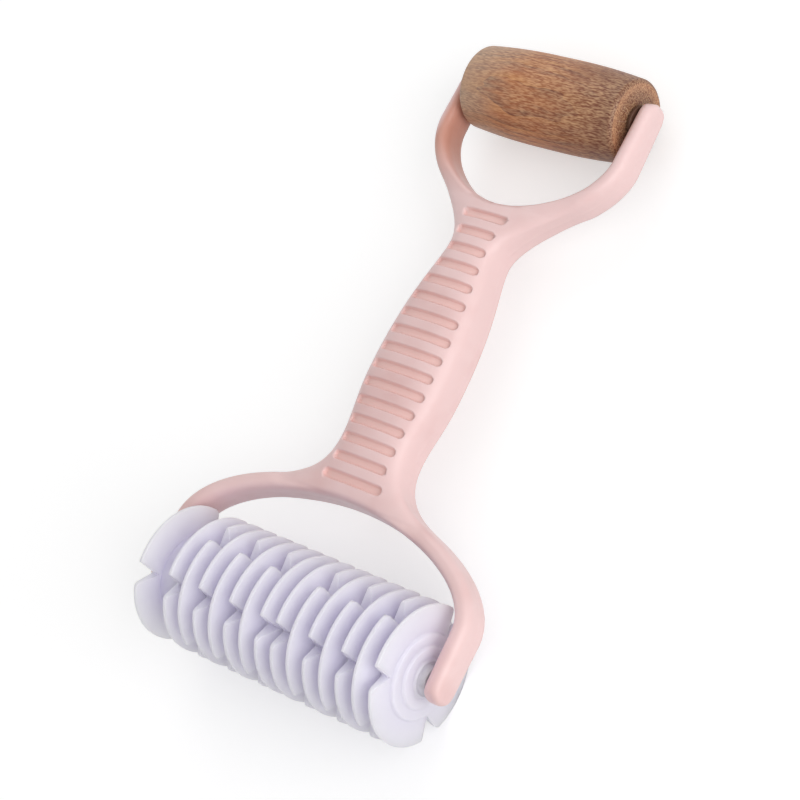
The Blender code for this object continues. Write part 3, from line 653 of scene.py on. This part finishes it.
def handle_plan(sizes, yokes, side):
    """Flat mesh of the handle's half: the grip as a grid, the arms grown from its corners."""
    across_arm = arm_shares()
    across_grip = grip_shares()
    bands = len(across_arm) - 1
    columns = len(across_grip) - 1
    stops = grip_rows(sizes, yokes, side[0].y, side[-1].y)
    rows = len(stops) - 1 + 2 * bands
    widths = half_widths(stops, side)
    bm = bmesh.new()
    bmesh.ops.create_grid(bm, x_segments=columns, y_segments=rows, size=1.0)
    fronts = ({}, {})
    for vert in bm.verts:
        column = round((vert.co.x + 1.0) / 2 * columns)
        row = round((vert.co.y + 1.0) / 2 * rows)
        share = across_grip[column]
        stop = min(max(row - bands, 0), len(stops) - 1)
        place = Vector((widths[stop] * share, stops[stop]))
        band = min(row, rows - row, bands)
        if band < bands:
            yoke = yokes[0] if row < bands else yokes[1]
            angle = math.pi / 2 + (CORNER_ANGLE - math.pi / 2) * share
            place = yoke_edge(yoke, angle).lerp(place, across_arm[band])
        if column == columns and min(row, rows - row) <= bands:
            fronts[row > rows / 2][vert] = band
        vert.co = (*place, 0.0)
    for yoke, front in zip(yokes, fronts):
        grow_arm(bm, front, arm_rows(yoke, yokes, sizes))
    return bm


def grow_arm(bm, front, rows):
    """Extrude an arm row by row from the grip's corner, whose points the front gives bands."""
    shares = arm_shares()
    edges = [edge for edge in bm.edges if all(vert in front for vert in edge.verts)]
    for inner, outside in rows:
        grown = bmesh.ops.extrude_edge_only(bm, edges=edges)["geom"]
        fresh = {}
        for vert in points_of(grown):
            source = next(edge.other_vert(vert) for edge in vert.link_edges
                          if edge.other_vert(vert) in front)
            fresh[vert] = front[source]
            vert.co = (*inner.lerp(outside, shares[fresh[vert]]), 0.0)
        edges = [part for part in grown if isinstance(part, bmesh.types.BMEdge)
                 and all(vert in fresh for vert in part.verts)]
        front = fresh


def raise_faces(bm, outline, sizes, yokes):
    """Give the flat plan its top and bottom faces and the wall between them."""
    number = bm.verts.layers.int.new("plan")     # a raised point keeps its plan point's number
    hollow = bm.verts.layers.float.new(GROOVE_LAYER)
    for count, vert in enumerate(bm.verts):
        vert[number] = count
    points = np.array([vert.co.xy for vert in bm.verts])
    top, bottom = face_heights(points, outline, sizes, yokes)
    shares = groove_sink(points, outline[2], sizes, yokes) / sizes.groove_depth
    raised = bmesh.ops.extrude_face_region(bm, geom=bm.faces[:])["geom"]
    tops = set(points_of(raised))
    for vert in bm.verts:
        vert.co.z = top[vert[number]] if vert in tops else -bottom[vert[number]]
        vert[hollow] = shares[vert[number]] if vert in tops else 0.0
    middle = [face for face in bm.faces if all(abs(vert.co.x) < WELD for vert in face.verts)]
    bmesh.ops.delete(bm, geom=middle, context="FACES")


def add_parting_line(bm):
    """Split the wall between the faces and raise the mould's faint parting line on it."""
    walls = {}
    for edge in bm.edges:
        high, low = sorted(edge.verts, key=lambda vert: -vert.co.z)
        if (high.co.xy - low.co.xy).length < WELD and high.co.z > PARTING_HALF_WIDTH > low.co.z:
            walls[edge] = high.co.z
    rims = {edge.verts[0].co.xy.to_tuple(DIGITS): rim for edge, rim in walls.items()}
    made = bmesh.ops.subdivide_edges(bm, edges=list(walls), cuts=PARTING_CUTS)["geom_inner"]
    bm.normal_update()
    moves = []
    # The new points lie in rings down the wall, and each ring gets its own height
    for vert in points_of(made):
        rim = rims[vert.co.xy.to_tuple(DIGITS)]
        heights = (rim / 2, PARTING_HALF_WIDTH, 0.0, -PARTING_HALF_WIDTH, -rim / 2)
        ring = round((1.0 - vert.co.z / rim) * (PARTING_CUTS + 1) / 2) - 1
        outward = Vector((*vert.normal.xy, 0.0)).normalized()
        moves.append((vert, heights[ring], outward))
    for vert, height, outward in moves:
        vert.co.z = height
        if height == 0.0:
            vert.co += outward * PARTING_RISE


def build_handle(sizes):
    """Mesh of the whole handle in the frame's coordinates."""
    yokes = make_yokes(sizes)
    outline = handle_outline(sizes, yokes)
    bm = handle_plan(sizes, yokes, outline[2])
    raise_faces(bm, outline, sizes, yokes)
    bmesh.ops.recalc_face_normals(bm, faces=bm.faces[:])
    add_parting_line(bm)
    bmesh.ops.mirror(bm, geom=bm.verts[:] + bm.edges[:] + bm.faces[:],
                     matrix=Matrix.Identity(4), merge_dist=WELD, axis="X")
    handle = finish_mesh("handle_moulding", bm, TOOL)
    for axle, bore, pin in ((LATTICE_AXLE, LATTICE_BORE, LATTICE_PIN),
                            (WOOD_AXLE, WOOD_BORE, WOOD_PIN)):
        cutter = bmesh.new()
        bmesh.ops.create_cone(cutter, cap_ends=True, segments=SOCKET_TURNS, radius1=bore,
                              radius2=bore, depth=2 * (pin[1].x + GAP))
        place = Matrix.Translation(axle) @ Matrix.Rotation(math.pi / 2, 4, "Y")
        carve(handle, finish_mesh("socket", cutter, place))
    smooth_under(handle, HANDLE_CREASE)
    return handle


# Lattice roller


def hub_corners(face, sign):
    """Corners of a stepped hub, from the axle outwards."""
    along = face + sign * sum(rise for _, rise in HUB_STEPS)
    corners = [(LATTICE_BORE, along, 0.0)]
    for radius, rise in reversed(HUB_STEPS):
        corners.append((radius, along, HUB_ROUND))
        along -= sign * rise
        corners.append((radius + HUB_DRAFT, along, HUB_ROUND))
    return corners


def disc_corners(centre, sizes):
    """Corners of a wedge disc, from its high side to its low side."""
    return [(CORE_RADIUS, centre + sizes.disc_root / 2, FINE_ROUND),
            (DISC_RADIUS, centre + sizes.disc_tip / 2, sizes.rim_round),
            (DISC_RADIUS, centre - sizes.disc_tip / 2, sizes.rim_round),
            (CORE_RADIUS, centre - sizes.disc_root / 2, FINE_ROUND)]


def spigot_corners(face):
    """Ring that enters the next piece's cup, from the axle outwards."""
    outer = CORE_RADIUS - CORE_WALL - GAP
    return [(LATTICE_BORE, face, 0.0), (outer - SPIGOT_WALL, face, 0.0),
            (outer - SPIGOT_WALL, face + SPIGOT_LENGTH, 0.0),
            (outer, face + SPIGOT_LENGTH, LEAD_ROUND), (outer, face, 0.0)]


def cup_corners(low, high):
    """Inside of a piece whose cup opens at its low end, from low to high."""
    cup = CORE_RADIUS - CORE_WALL
    tube = LATTICE_BORE + HUB_WALL
    return [(cup, low, 0.0), (cup, high - WEB, 0.0), (tube, high - WEB, 0.0),
            (tube, low, 0.0), (LATTICE_BORE, low, 0.0)]


def notch_outline(sizes):
    """Outline of a notch's cutter, as (outward, sideways) points with one rounded corner."""
    half = sizes.notch_half_angle
    flat = NOTCH_ROOT_FLAT / 2
    corner = Vector((math.cos(half), math.sin(half))) * DISC_RADIUS
    clear = corner + Vector((-math.sin(half), math.cos(half))) * NOTCH_CLEAR
    slope = (corner.y - flat) / (corner.x - sizes.notch_apex)
    far = flat + slope * (NOTCH_REACH - sizes.notch_apex)
    return rounded([(sizes.notch_apex, flat, 0.0), (*corner, NOTCH_CORNER), (*clear, 0.0),
                    (NOTCH_REACH, -far, 0.0), (sizes.notch_apex, -flat, 0.0)], NOTCH_STEPS)


def notch_cutters(centres, sizes):
    """Cutters for the notches of discs, given as (place along, turn) pairs."""
    bm = bmesh.new()
    outline = notch_outline(sizes)
    for centre, turn in centres:
        for count in range(NOTCH_COUNT):
            angle = NOTCH_ANGLE + turn + count * math.tau / NOTCH_COUNT
            place = (Matrix.Translation((centre - sizes.disc_pitch / 2, 0.0, 0.0))
                     @ Matrix.Rotation(angle, 4, "X"))
            ring = [bm.verts.new(place @ Vector((0.0, *point))) for point in outline]
            face = bm.faces.new(ring)
            grown = bmesh.ops.extrude_face_region(bm, geom=[face])["geom"]
            bmesh.ops.translate(bm, vec=(sizes.disc_pitch, 0.0, 0.0), verts=points_of(grown))
    return finish_mesh("notch_cutters", bm, TOOL)


def lattice_piece(name, corners, centres, sizes):
    """One turned moulding of the lattice roller with its notches cut."""
    item = finish_mesh(name, turned(rounded(corners), DRUM_TURNS), TOOL)
    carve(item, notch_cutters(centres, sizes))
    smooth_under(item, LATTICE_CREASE)
    return item


def build_half_drum(name, start, ends_in_hub, sizes):
    """Half drum of wedge discs; the right one ends in a flat disc with a stepped hub."""
    centres = [start + sizes.disc_pitch * (count + 0.5) for count in range(HALF_DISCS)]
    low = start + GAP / 2
    high = start + sizes.disc_pitch * HALF_DISCS - GAP / 2
    outer = []
    for centre in reversed(centres):
        outer += disc_corners(centre, sizes)
    if ends_in_hub:
        high = centres[-1] + sizes.disc_tip / 2
        top = hub_corners(high, 1)
        outer = [(DISC_RADIUS, high, sizes.rim_round)] + outer[2:]
    else:
        top = spigot_corners(high) + [(CORE_RADIUS, high, FINE_ROUND)]
    corners = top + outer + [(CORE_RADIUS, low, FINE_ROUND)] + cup_corners(low, high)
    turns = [(centre, count % 2 * math.pi / NOTCH_COUNT)
             for count, centre in enumerate(centres)]
    return lattice_piece(name, corners, turns, sizes)


def build_end_flange(name, end_x, start, sizes):
    """End disc with its hub steps on the left and a spigot for the left half drum."""
    low = -end_x - sizes.disc_tip / 2
    high = start - GAP / 2
    corners = spigot_corners(high) + [(CORE_RADIUS, high, FINE_ROUND)]
    corners += disc_corners(-end_x, sizes)[:2]
    corners += [(DISC_RADIUS, low, sizes.rim_round)] + hub_corners(low, -1)[::-1]
    return lattice_piece(name, corners, [(-end_x, 0.0)], sizes)


# Wooden roller


def barrel_outline(sizes):
    """Outer edge of the wooden barrel, from its high end to its low end."""
    end = WOOD_END - sizes.shoulder
    land = WOOD_LAND / 2
    half = []
    for step in range(SHOULDER_STEPS + 1):
        turn = math.pi / 2 * step / SHOULDER_STEPS
        half.append(Vector((sizes.end_radius - sizes.shoulder * (1.0 - math.sin(turn)),
                            end + sizes.shoulder * math.cos(turn))))
    for step in range(1, BARREL_STEPS + 1):
        along = end + (land - end) * step / BARREL_STEPS
        fall = ((along - land) / (end - land)) ** 2
        half.append(Vector((BARREL_RADIUS - (BARREL_RADIUS - sizes.end_radius) * fall, along)))
    return half + [Vector((point.x, -point.y)) for point in reversed(half)]


def wood_piece(name, bm):
    """One turned piece of the wooden roller, set round its axle."""
    item = finish_mesh(name, bm, Matrix.Translation(WOOD_AXLE))
    smooth_under(item, WOOD_CREASE)
    return item


def build_barrel(sizes):
    """Wooden barrel with a through hole, counterbored at both ends for the bushes."""
    seat = WOOD_BORE + BUSH_WALL + GAP
    shelf = WOOD_END - BUSH_LENGTH - GAP
    inside = rounded([(seat, -WOOD_END, LEAD_ROUND), (seat, -shelf, 0.0),
                      (WOOD_BORE, -shelf, 0.0), (WOOD_BORE, shelf, 0.0),
                      (seat, shelf, 0.0), (seat, WOOD_END, LEAD_ROUND)])
    return wood_piece("wooden_barrel", turned(barrel_outline(sizes) + inside, BARREL_TURNS))


def build_bush(name, sign):
    """Flanged nylon bush in one end of the barrel."""
    sleeve = WOOD_BORE + BUSH_WALL
    back = WOOD_END + GAP
    inner = WOOD_END - BUSH_LENGTH
    corners = [(WOOD_BORE, BUSH_FACE, FINE_ROUND), (BUSH_FLANGE_RADIUS, BUSH_FACE, FINE_ROUND),
               (BUSH_FLANGE_RADIUS, back, FINE_ROUND), (sleeve, back, 0.0),
               (sleeve, inner, FINE_ROUND), (WOOD_BORE, inner, 0.0)]
    bm = turned(rounded(corners), BUSH_TURNS)
    if sign < 0:
        bmesh.ops.scale(bm, vec=(-1.0, 1.0, 1.0), verts=bm.verts)
    return wood_piece(name, bm)


# Materials

MIX_SHARE, MIX_FIRST, MIX_SECOND = 0, 6, 7     # a Mix node's inputs when it mixes colours
MIX_RESULT = 2                                 # and its output


def add_node(tree, kind, inputs=None, stops=(), **settings):
    """Add a shader node with its inputs, a colour ramp's stops, and its settings.

    An input is named, or numbered where a node has several of one name. It takes a value, a
    socket to link, or a node, whose first output it gets.
    """
    node = tree.nodes.new(kind)
    for name, value in settings.items():
        setattr(node, name, value)
    for name, value in (inputs or {}).items():
        if isinstance(value, bpy.types.Node):
            value = value.outputs[0]
        if isinstance(value, bpy.types.NodeSocket):
            tree.links.new(value, node.inputs[name])
        else:
            node.inputs[name].default_value = value
    for place, (position, tint) in enumerate(stops):
        ramp = node.color_ramp.elements
        stop = ramp[place] if place < 2 else ramp.new(position)
        stop.position = position
        stop.color = (*tint, 1.0)
    return node


def new_material(name):
    """Empty node material and its tree."""
    material = bpy.data.materials.new(name)
    material.use_nodes = True
    material.node_tree.nodes.clear()
    return material, material.node_tree


def painted_arm_shade(tree, coords, plain, painted_shade):
    """Painted shade, warm with bounce light from the wooden barrel, on the inner face of the left
    arm beside it.
    """
    place = add_node(tree, "ShaderNodeSeparateXYZ", {"Vector": coords})
    side = add_node(tree, "ShaderNodeMath", {0: place.outputs["X"], 1: -1.0},
                    operation="MULTIPLY")
    left = add_node(tree, "ShaderNodeMath", {0: side, 1: 0.0}, operation="GREATER_THAN")
    share = add_node(tree, "ShaderNodeMapRange",
                     {"Value": side, "From Min": BUSH_FACE + PAINTED_SHADE_DEPTH[0],
                      "From Max": BUSH_FACE + PAINTED_SHADE_DEPTH[1], "To Min": 1.0, "To Max": 0.0},
                     interpolation_type="SMOOTHSTEP")
    near = add_node(tree, "ShaderNodeMapRange",
                    {"Value": place.outputs["Y"], "From Min": WOOD_AXLE.y - PAINTED_SHADE_REACH[0],
                     "From Max": WOOD_AXLE.y - PAINTED_SHADE_REACH[1]}, interpolation_type="SMOOTHSTEP")
    for part in (near, left):
        share = add_node(tree, "ShaderNodeMath", {0: share, 1: part}, operation="MULTIPLY")
    return add_node(tree, "ShaderNodeMix",
                    {MIX_SHARE: share, MIX_FIRST: plain, MIX_SECOND: (*painted_shade, 1.0)},
                    data_type="RGBA").outputs[MIX_RESULT]


def moulded_plastic(name, light, deep, grain, roughness, soft, depth, groove=None, painted_shade=None):
    """Moulded thermoplastic: near-even colour, satin gloss and a fine spark-eroded grain."""
    material, tree = new_material(name)
    coords = add_node(tree, "ShaderNodeTexCoord").outputs["Object"]
    cloud = add_node(tree, "ShaderNodeTexNoise",
                     {"Vector": coords, "Scale": CLOUD_SCALE, "Detail": 3.0, "Roughness": 0.5})
    tint = add_node(tree, "ShaderNodeValToRGB", {"Fac": cloud}, ((0.30, deep), (0.52, light)))
    # Painted shade, warmed by inter-reflection, on the grooves' floors and walls
    if groove is not None:
        hollow = add_node(tree, "ShaderNodeAttribute", attribute_name=GROOVE_LAYER)
        tint = add_node(tree, "ShaderNodeMix",
                        {MIX_SHARE: hollow.outputs["Fac"], MIX_FIRST: tint,
                         MIX_SECOND: (*groove, 1.0)}, data_type="RGBA").outputs[MIX_RESULT]
    # Painted shade, warm with the barrel's bounce light, on the left arm's inner face
    if painted_shade is not None:
        tint = painted_arm_shade(tree, coords, tint, painted_shade)
    speck = add_node(tree, "ShaderNodeTexNoise",
                     {"Vector": coords, "Scale": 1.0 / grain, "Detail": 2.0, "Roughness": 0.6})
    gloss = add_node(tree, "ShaderNodeMapRange",
                     {"Value": cloud, "From Min": 0.3, "From Max": 0.7,
                      "To Min": roughness - GLOSS_SPREAD, "To Max": roughness + GLOSS_SPREAD})
    bump = add_node(tree, "ShaderNodeBump",
                    {"Height": speck, "Strength": 0.12, "Distance": 0.0002})
    shader = add_node(tree, "ShaderNodeBsdfPrincipled",
                      {"Base Color": tint, "Roughness": gloss, "Normal": bump, "IOR": 1.49,
                       "Subsurface Weight": soft, "Subsurface Radius": (1.0, 1.0, 1.0),
                       "Subsurface Scale": depth})
    add_node(tree, "ShaderNodeOutputMaterial", {"Surface": shader})
    return material


def wood_tones(tree, coords, patches, shaded, sizes):
    """Tones over the wood's figure: heartwood, a painted sheen at the left end, painted shade in
    the right shoulder, and end grain.
    """
    place = add_node(tree, "ShaderNodeSeparateXYZ", {"Vector": coords})
    drift = add_node(tree, "ShaderNodeMath", {0: patches, 1: TONE_DRIFT, 2: place.outputs["X"]},
                     operation="MULTIPLY_ADD")
    side = add_node(tree, "ShaderNodeMath", {0: place.outputs["X"]}, operation="ABSOLUTE")
    # Each tone's place along the barrel, where it starts, where it is full, and its share
    tones = ((drift, *HEART_SPAN, 0.95, sizes.heart_and_shade),
             # Painted sheen at the left end
             (drift, *PAINTED_SHEEN_SPAN, 0.85, sizes.painted_sheen),
             # Painted shade in the right shoulder, against the light that its rounded edge catches
             (place.outputs["X"], WOOD_END - 2.5 * sizes.shoulder,
              WOOD_END - 0.5 * sizes.shoulder, 0.70, sizes.heart_and_shade),
             (side, WOOD_END - END_FACE_SPAN[0], WOOD_END - END_FACE_SPAN[1], 0.80, sizes.face))
    for value, start, full, most, tone in tones:
        share = add_node(tree, "ShaderNodeMapRange",
                         {"Value": value, "From Min": start, "From Max": full, "To Max": most})
        shaded = add_node(tree, "ShaderNodeMix",
                          {MIX_SHARE: share, MIX_FIRST: shaded, MIX_SECOND: (*tone, 1.0)},
                          data_type="RGBA").outputs[MIX_RESULT]
    return shaded


def turned_wood(sizes):
    """Turned and oiled hardwood: growth rings, streaks along the grain and short open pores."""
    material, tree = new_material("turned_oiled_hardwood")
    coords = add_node(tree, "ShaderNodeTexCoord").outputs["Object"]
    # Growth rings: arcs on the end faces, and long tongues where they reach the barrel's side
    pith = add_node(tree, "ShaderNodeMapping",
                    {"Vector": coords, "Location": PITH_SHIFT - WOOD_AXLE,
                     "Rotation": PITH_TURN, "Scale": PITH_STRETCH})
    rings = add_node(tree, "ShaderNodeTexWave",
                     {"Vector": pith, "Scale": RING_SCALE / RING_WIDTH, "Distortion": 5.0,
                      "Detail": 2.0, "Detail Scale": 0.8},
                     wave_type="RINGS", rings_direction="X", wave_profile="SAW")
    # Streaks of paler and darker wood
    along = add_node(tree, "ShaderNodeMapping",
                     {"Vector": coords, "Rotation": GRAIN_TURN, "Scale": STREAK_STRETCH})
    streaks = add_node(tree, "ShaderNodeTexNoise",
                       {"Vector": along, "Scale": STREAK_SCALE, "Detail": 5.0,
                        "Roughness": 0.6, "Distortion": 0.4})
    figure = add_node(tree, "ShaderNodeMix",
                      {"Factor": 0.30, "A": streaks, "B": rings.outputs["Fac"]})
    tint = add_node(tree, "ShaderNodeValToRGB", {"Fac": figure},
                    ((0.26, sizes.dark), (0.72, sizes.light), (0.47, sizes.middle)))
    patches = add_node(tree, "ShaderNodeTexNoise",
                       {"Vector": coords, "Scale": PATCH_SCALE, "Detail": 2.0})
    shaded = wood_tones(tree, coords, patches, tint, sizes)
    # Open pores with pale flecks between them, stronger in some patches than in others
    short = add_node(tree, "ShaderNodeMapping",
                     {"Vector": coords, "Rotation": GRAIN_TURN, "Scale": PORE_STRETCH})
    pores = add_node(tree, "ShaderNodeTexNoise",
                     {"Vector": short, "Scale": PORE_SCALE, "Detail": 1.0, "Roughness": 0.7})
    fibre = add_node(tree, "ShaderNodeValToRGB", {"Fac": pores},
                     ((0.36, sizes.dark), (0.66, sizes.fleck)))
    strength = add_node(tree, "ShaderNodeMapRange",
                        {"Value": patches, "From Min": 0.35, "From Max": 0.65,
                         "To Min": 0.52, "To Max": 0.22})
    wood = add_node(tree, "ShaderNodeMix",
                    {MIX_SHARE: strength, MIX_FIRST: shaded, MIX_SECOND: fibre},
                    data_type="RGBA").outputs[MIX_RESULT]
    bump = add_node(tree, "ShaderNodeBump",
                    {"Height": pores, "Strength": 0.30, "Distance": 0.0003})
    shader = add_node(tree, "ShaderNodeBsdfPrincipled",
                      {"Base Color": wood, "Roughness": 0.50, "Normal": bump, "IOR": 1.5})
    add_node(tree, "ShaderNodeOutputMaterial", {"Surface": shader})
    return material


def drawn_steel(sizes):
    """Bare drawn steel rod: grey, with the fine lines along it that cold drawing leaves."""
    material, tree = new_material("drawn_steel_rod")
    coords = add_node(tree, "ShaderNodeTexCoord").outputs["Object"]
    lines = add_node(tree, "ShaderNodeMapping", {"Vector": coords, "Scale": STEEL_STRETCH})
    wear = add_node(tree, "ShaderNodeTexNoise", {"Vector": lines, "Scale": 1.0, "Detail": 3.0})
    gloss = add_node(tree, "ShaderNodeMapRange", {"Value": wear, "To Min": 0.22, "To Max": 0.42})
    shader = add_node(tree, "ShaderNodeBsdfPrincipled",
                      {"Base Color": (*sizes.steel, 1.0), "Metallic": 1.0, "Roughness": gloss})
    add_node(tree, "ShaderNodeOutputMaterial", {"Surface": shader})
    return material


# Operators


class DOUGHROLLER_OT_handle(bpy.types.Operator):
    """Build the moulded handle with its yokes and grooved grip"""

    bl_idname = "dough_roller.handle"
    bl_label = "Handle"

    def execute(self, context):
        sizes = context.scene.dough_roller_handle
        plastic = moulded_plastic("satin_polypropylene_pink", sizes.light, sizes.deep,
                                  grain=0.0006, roughness=0.36, soft=0.25, depth=0.0020,
                                  groove=sizes.groove, painted_shade=sizes.painted_shade)
        dress(build_handle(sizes), "handle_body", plastic, "handle_frame")
        return {"FINISHED"}


class DOUGHROLLER_OT_lattice(bpy.types.Operator):
    """Build the notched lattice roller in its three mouldings"""

    bl_idname = "dough_roller.lattice"
    bl_label = "Lattice roller"

    def execute(self, context):
        sizes = context.scene.dough_roller_lattice
        plastic = moulded_plastic("satin_polypropylene_lavender", sizes.light, sizes.deep,
                                  grain=0.0006, roughness=0.38, soft=1.00, depth=0.0090)
        end_x = HUB_FACE - sum(rise for _, rise in HUB_STEPS) - sizes.disc_tip / 2
        room = sizes.disc_pitch * HALF_DISCS
        right_start = end_x + sizes.disc_pitch / 2 - room
        left_start = right_start - room
        right = build_half_drum("lattice_right_moulding", right_start, True, sizes)
        left = build_half_drum("lattice_left_moulding", left_start, False, sizes)
        flange = build_end_flange("lattice_end_moulding", end_x, left_start, sizes)
        dress(right, "lattice_body", plastic, "lattice_drum_right")
        dress(left, "lattice_body", plastic, "lattice_drum_left")
        dress(flange, "lattice_body", plastic, "lattice_end_flange")
        return {"FINISHED"}


class DOUGHROLLER_OT_wood(bpy.types.Operator):
    """Build the wooden barrel and the bushes in its ends"""

    bl_idname = "dough_roller.wood"
    bl_label = "Wooden roller"

    def execute(self, context):
        sizes = context.scene.dough_roller_wood
        dress(build_barrel(sizes), "wood_body", turned_wood(sizes), "wood_roller")
        # Dark brown: partly the bushes' own colour, partly painted shade of the gaps beside the
        # arms
        nylon = moulded_plastic("turned_nylon", sizes.nylon, sizes.nylon,
                                grain=0.0005, roughness=0.42, soft=0.10, depth=0.0010)
        for name, sign, node in (("bush_left_turned", -1, "wood_bush_left"),
                                 ("bush_right_turned", 1, "wood_bush_right")):
            dress(build_bush(name, sign), "wood_body", nylon, node)
        return {"FINISHED"}


class DOUGHROLLER_OT_pins(bpy.types.Operator):
    """Give the two axle pins their bare steel"""

    bl_idname = "dough_roller.pins"
    bl_label = "Pins"

    def execute(self, context):
        steel = drawn_steel(context.scene.dough_roller_wood)
        for name in ("lattice_pin", "wood_pin"):
            node = frame["nodes"][name]
            node.data.materials.clear()
            node.data.materials.append(steel)
        return {"FINISHED"}


class DOUGHROLLER_OT_stage(bpy.types.Operator):
    """Set up the floor, the lights and the camera"""

    bl_idname = "dough_roller.stage"
    bl_label = "Stage"

    def execute(self, context):
        sizes = context.scene.dough_roller_stage
        scene = context.scene
        scene.view_settings.view_transform = "Standard"
        add_floor(sizes)
        add_world(scene, sizes)
        add_light("key_softbox", *KEY_SOFTBOX, sizes.key)
        add_light("fill_softbox", *FILL_SOFTBOX, sizes.fill)
        scene.camera = add_camera()
        return {"FINISHED"}


# Studio


def seen_directly(tree):
    """Node that gives 1 for rays from the eye, a mirror or clear glass, and 0 for other rays."""
    path = add_node(tree, "ShaderNodeLightPath").outputs
    seen = path["Is Camera Ray"]
    for other in ("Is Glossy Ray", "Is Transmission Ray"):
        seen = add_node(tree, "ShaderNodeMath", {0: seen, 1: path[other]}, operation="MAXIMUM")
    return seen


def add_floor(sizes):
    """Plain pale floor, lifted to white for the eye alone, that keeps the tool's soft shadow."""
    bm = bmesh.new()
    bmesh.ops.create_grid(bm, x_segments=FLOOR_CELLS, y_segments=FLOOR_CELLS,
                          size=sizes.floor_size / 2)
    floor = finish_mesh("floor", bm)
    material, tree = new_material("white_studio_floor")
    lift = add_node(tree, "ShaderNodeMath", {0: seen_directly(tree), 1: sizes.floor_lift},
                    operation="MULTIPLY")
    shader = add_node(tree, "ShaderNodeBsdfPrincipled",
                      {"Base Color": (*sizes.floor, 1.0), "Roughness": 0.9,
                       "Specular IOR Level": 0.1, "Emission Color": (1.0, 1.0, 1.0, 1.0),
                       "Emission Strength": lift})
    add_node(tree, "ShaderNodeOutputMaterial", {"Surface": shader})
    floor.data.materials.append(material)


def add_world(scene, sizes):
    """Even pale light from all round, white for the eye."""
    world = bpy.data.worlds.new("studio_sky")
    world.use_nodes = True
    tree = world.node_tree
    tree.nodes.clear()
    strength = add_node(tree, "ShaderNodeMapRange",
                        {"Value": seen_directly(tree), "To Min": sizes.sky, "To Max": 1.0})
    sky = add_node(tree, "ShaderNodeBackground",
                   {"Color": (1.0, 1.0, 1.0, 1.0), "Strength": strength})
    add_node(tree, "ShaderNodeOutputWorld", {"Surface": sky})
    scene.world = world


def add_light(name, place, size, power):
    """Square softbox that looks at the middle of the tool."""
    lamp = bpy.data.lights.new(name, "AREA")
    lamp.shape = "SQUARE"
    lamp.size = size
    lamp.energy = power
    item = bpy.data.objects.new(name, lamp)
    item.location = place
    item.rotation_euler = (-Vector(place)).to_track_quat("-Z", "Y").to_euler()
    item.visible_camera = False
    bpy.context.scene.collection.objects.link(item)


def add_camera():
    """Camera at the photograph's place, aimed and rolled as the photograph is."""
    lens = bpy.data.cameras.new("photo_camera")
    lens.lens = CAMERA_LENS
    lens.sensor_width = SENSOR_WIDTH
    lens.clip_start = NEAR_CLIP
    item = bpy.data.objects.new("photo_camera", lens)
    aim = (CAMERA_AIM - CAMERA_PLACE).to_track_quat("-Z", "Y").to_matrix()
    turn = aim @ Matrix.Rotation(-CAMERA_ROLL, 3, "Z")
    item.matrix_world = Matrix.Translation(CAMERA_PLACE) @ turn.to_4x4()
    bpy.context.scene.collection.objects.link(item)
    return item


# Panel and registration


class DOUGHROLLER_PT_panel(bpy.types.Panel):
    """Lists the tool's pieces and the studio"""

    bl_label = "Dough Roller"
    bl_idname = "DOUGHROLLER_PT_panel"
    bl_space_type = "VIEW_3D"
    bl_region_type = "UI"
    bl_category = "Dough Roller"

    def draw(self, context):
        layout = self.layout
        for title, group, operators in PANEL_ROWS:
            box = layout.box()
            box.label(text=title)
            settings = getattr(context.scene, group)
            for prop in settings.bl_rna.properties:
                if prop.identifier not in ("rna_type", "name"):
                    box.prop(settings, prop.identifier)
            for operator in operators:
                box.operator(operator)


PANEL_ROWS = (
    ("Handle", "dough_roller_handle", ("dough_roller.handle",)),
    ("Lattice roller", "dough_roller_lattice", ("dough_roller.lattice",)),
    ("Wooden roller", "dough_roller_wood", ("dough_roller.wood", "dough_roller.pins")),
    ("Studio", "dough_roller_stage", ("dough_roller.stage",)),
)

SETTINGS = {
    "dough_roller_handle": DoughRollerHandle,
    "dough_roller_lattice": DoughRollerLattice,
    "dough_roller_wood": DoughRollerWood,
    "dough_roller_stage": DoughRollerStage,
}

CLASSES = (*SETTINGS.values(), DOUGHROLLER_OT_handle, DOUGHROLLER_OT_lattice,
           DOUGHROLLER_OT_wood, DOUGHROLLER_OT_pins, DOUGHROLLER_OT_stage,
           DOUGHROLLER_PT_panel)


def register():
    """Add the settings, operators and panel."""
    for item in CLASSES:
        bpy.utils.register_class(item)
    for name, group in SETTINGS.items():
        setattr(bpy.types.Scene, name, PointerProperty(type=group))


def unregister():
    """Take the settings, operators and panel away again."""
    for name in SETTINGS:
        delattr(bpy.types.Scene, name)
    for item in reversed(CLASSES):
        bpy.utils.unregister_class(item)


def main():
    """Register everything, and build the tool and its studio."""
    register()
    bpy.ops.dough_roller.handle()
    bpy.ops.dough_roller.lattice()
    bpy.ops.dough_roller.wood()
    bpy.ops.dough_roller.pins()
    bpy.ops.dough_roller.stage()


if __name__ == "__main__":
    main()
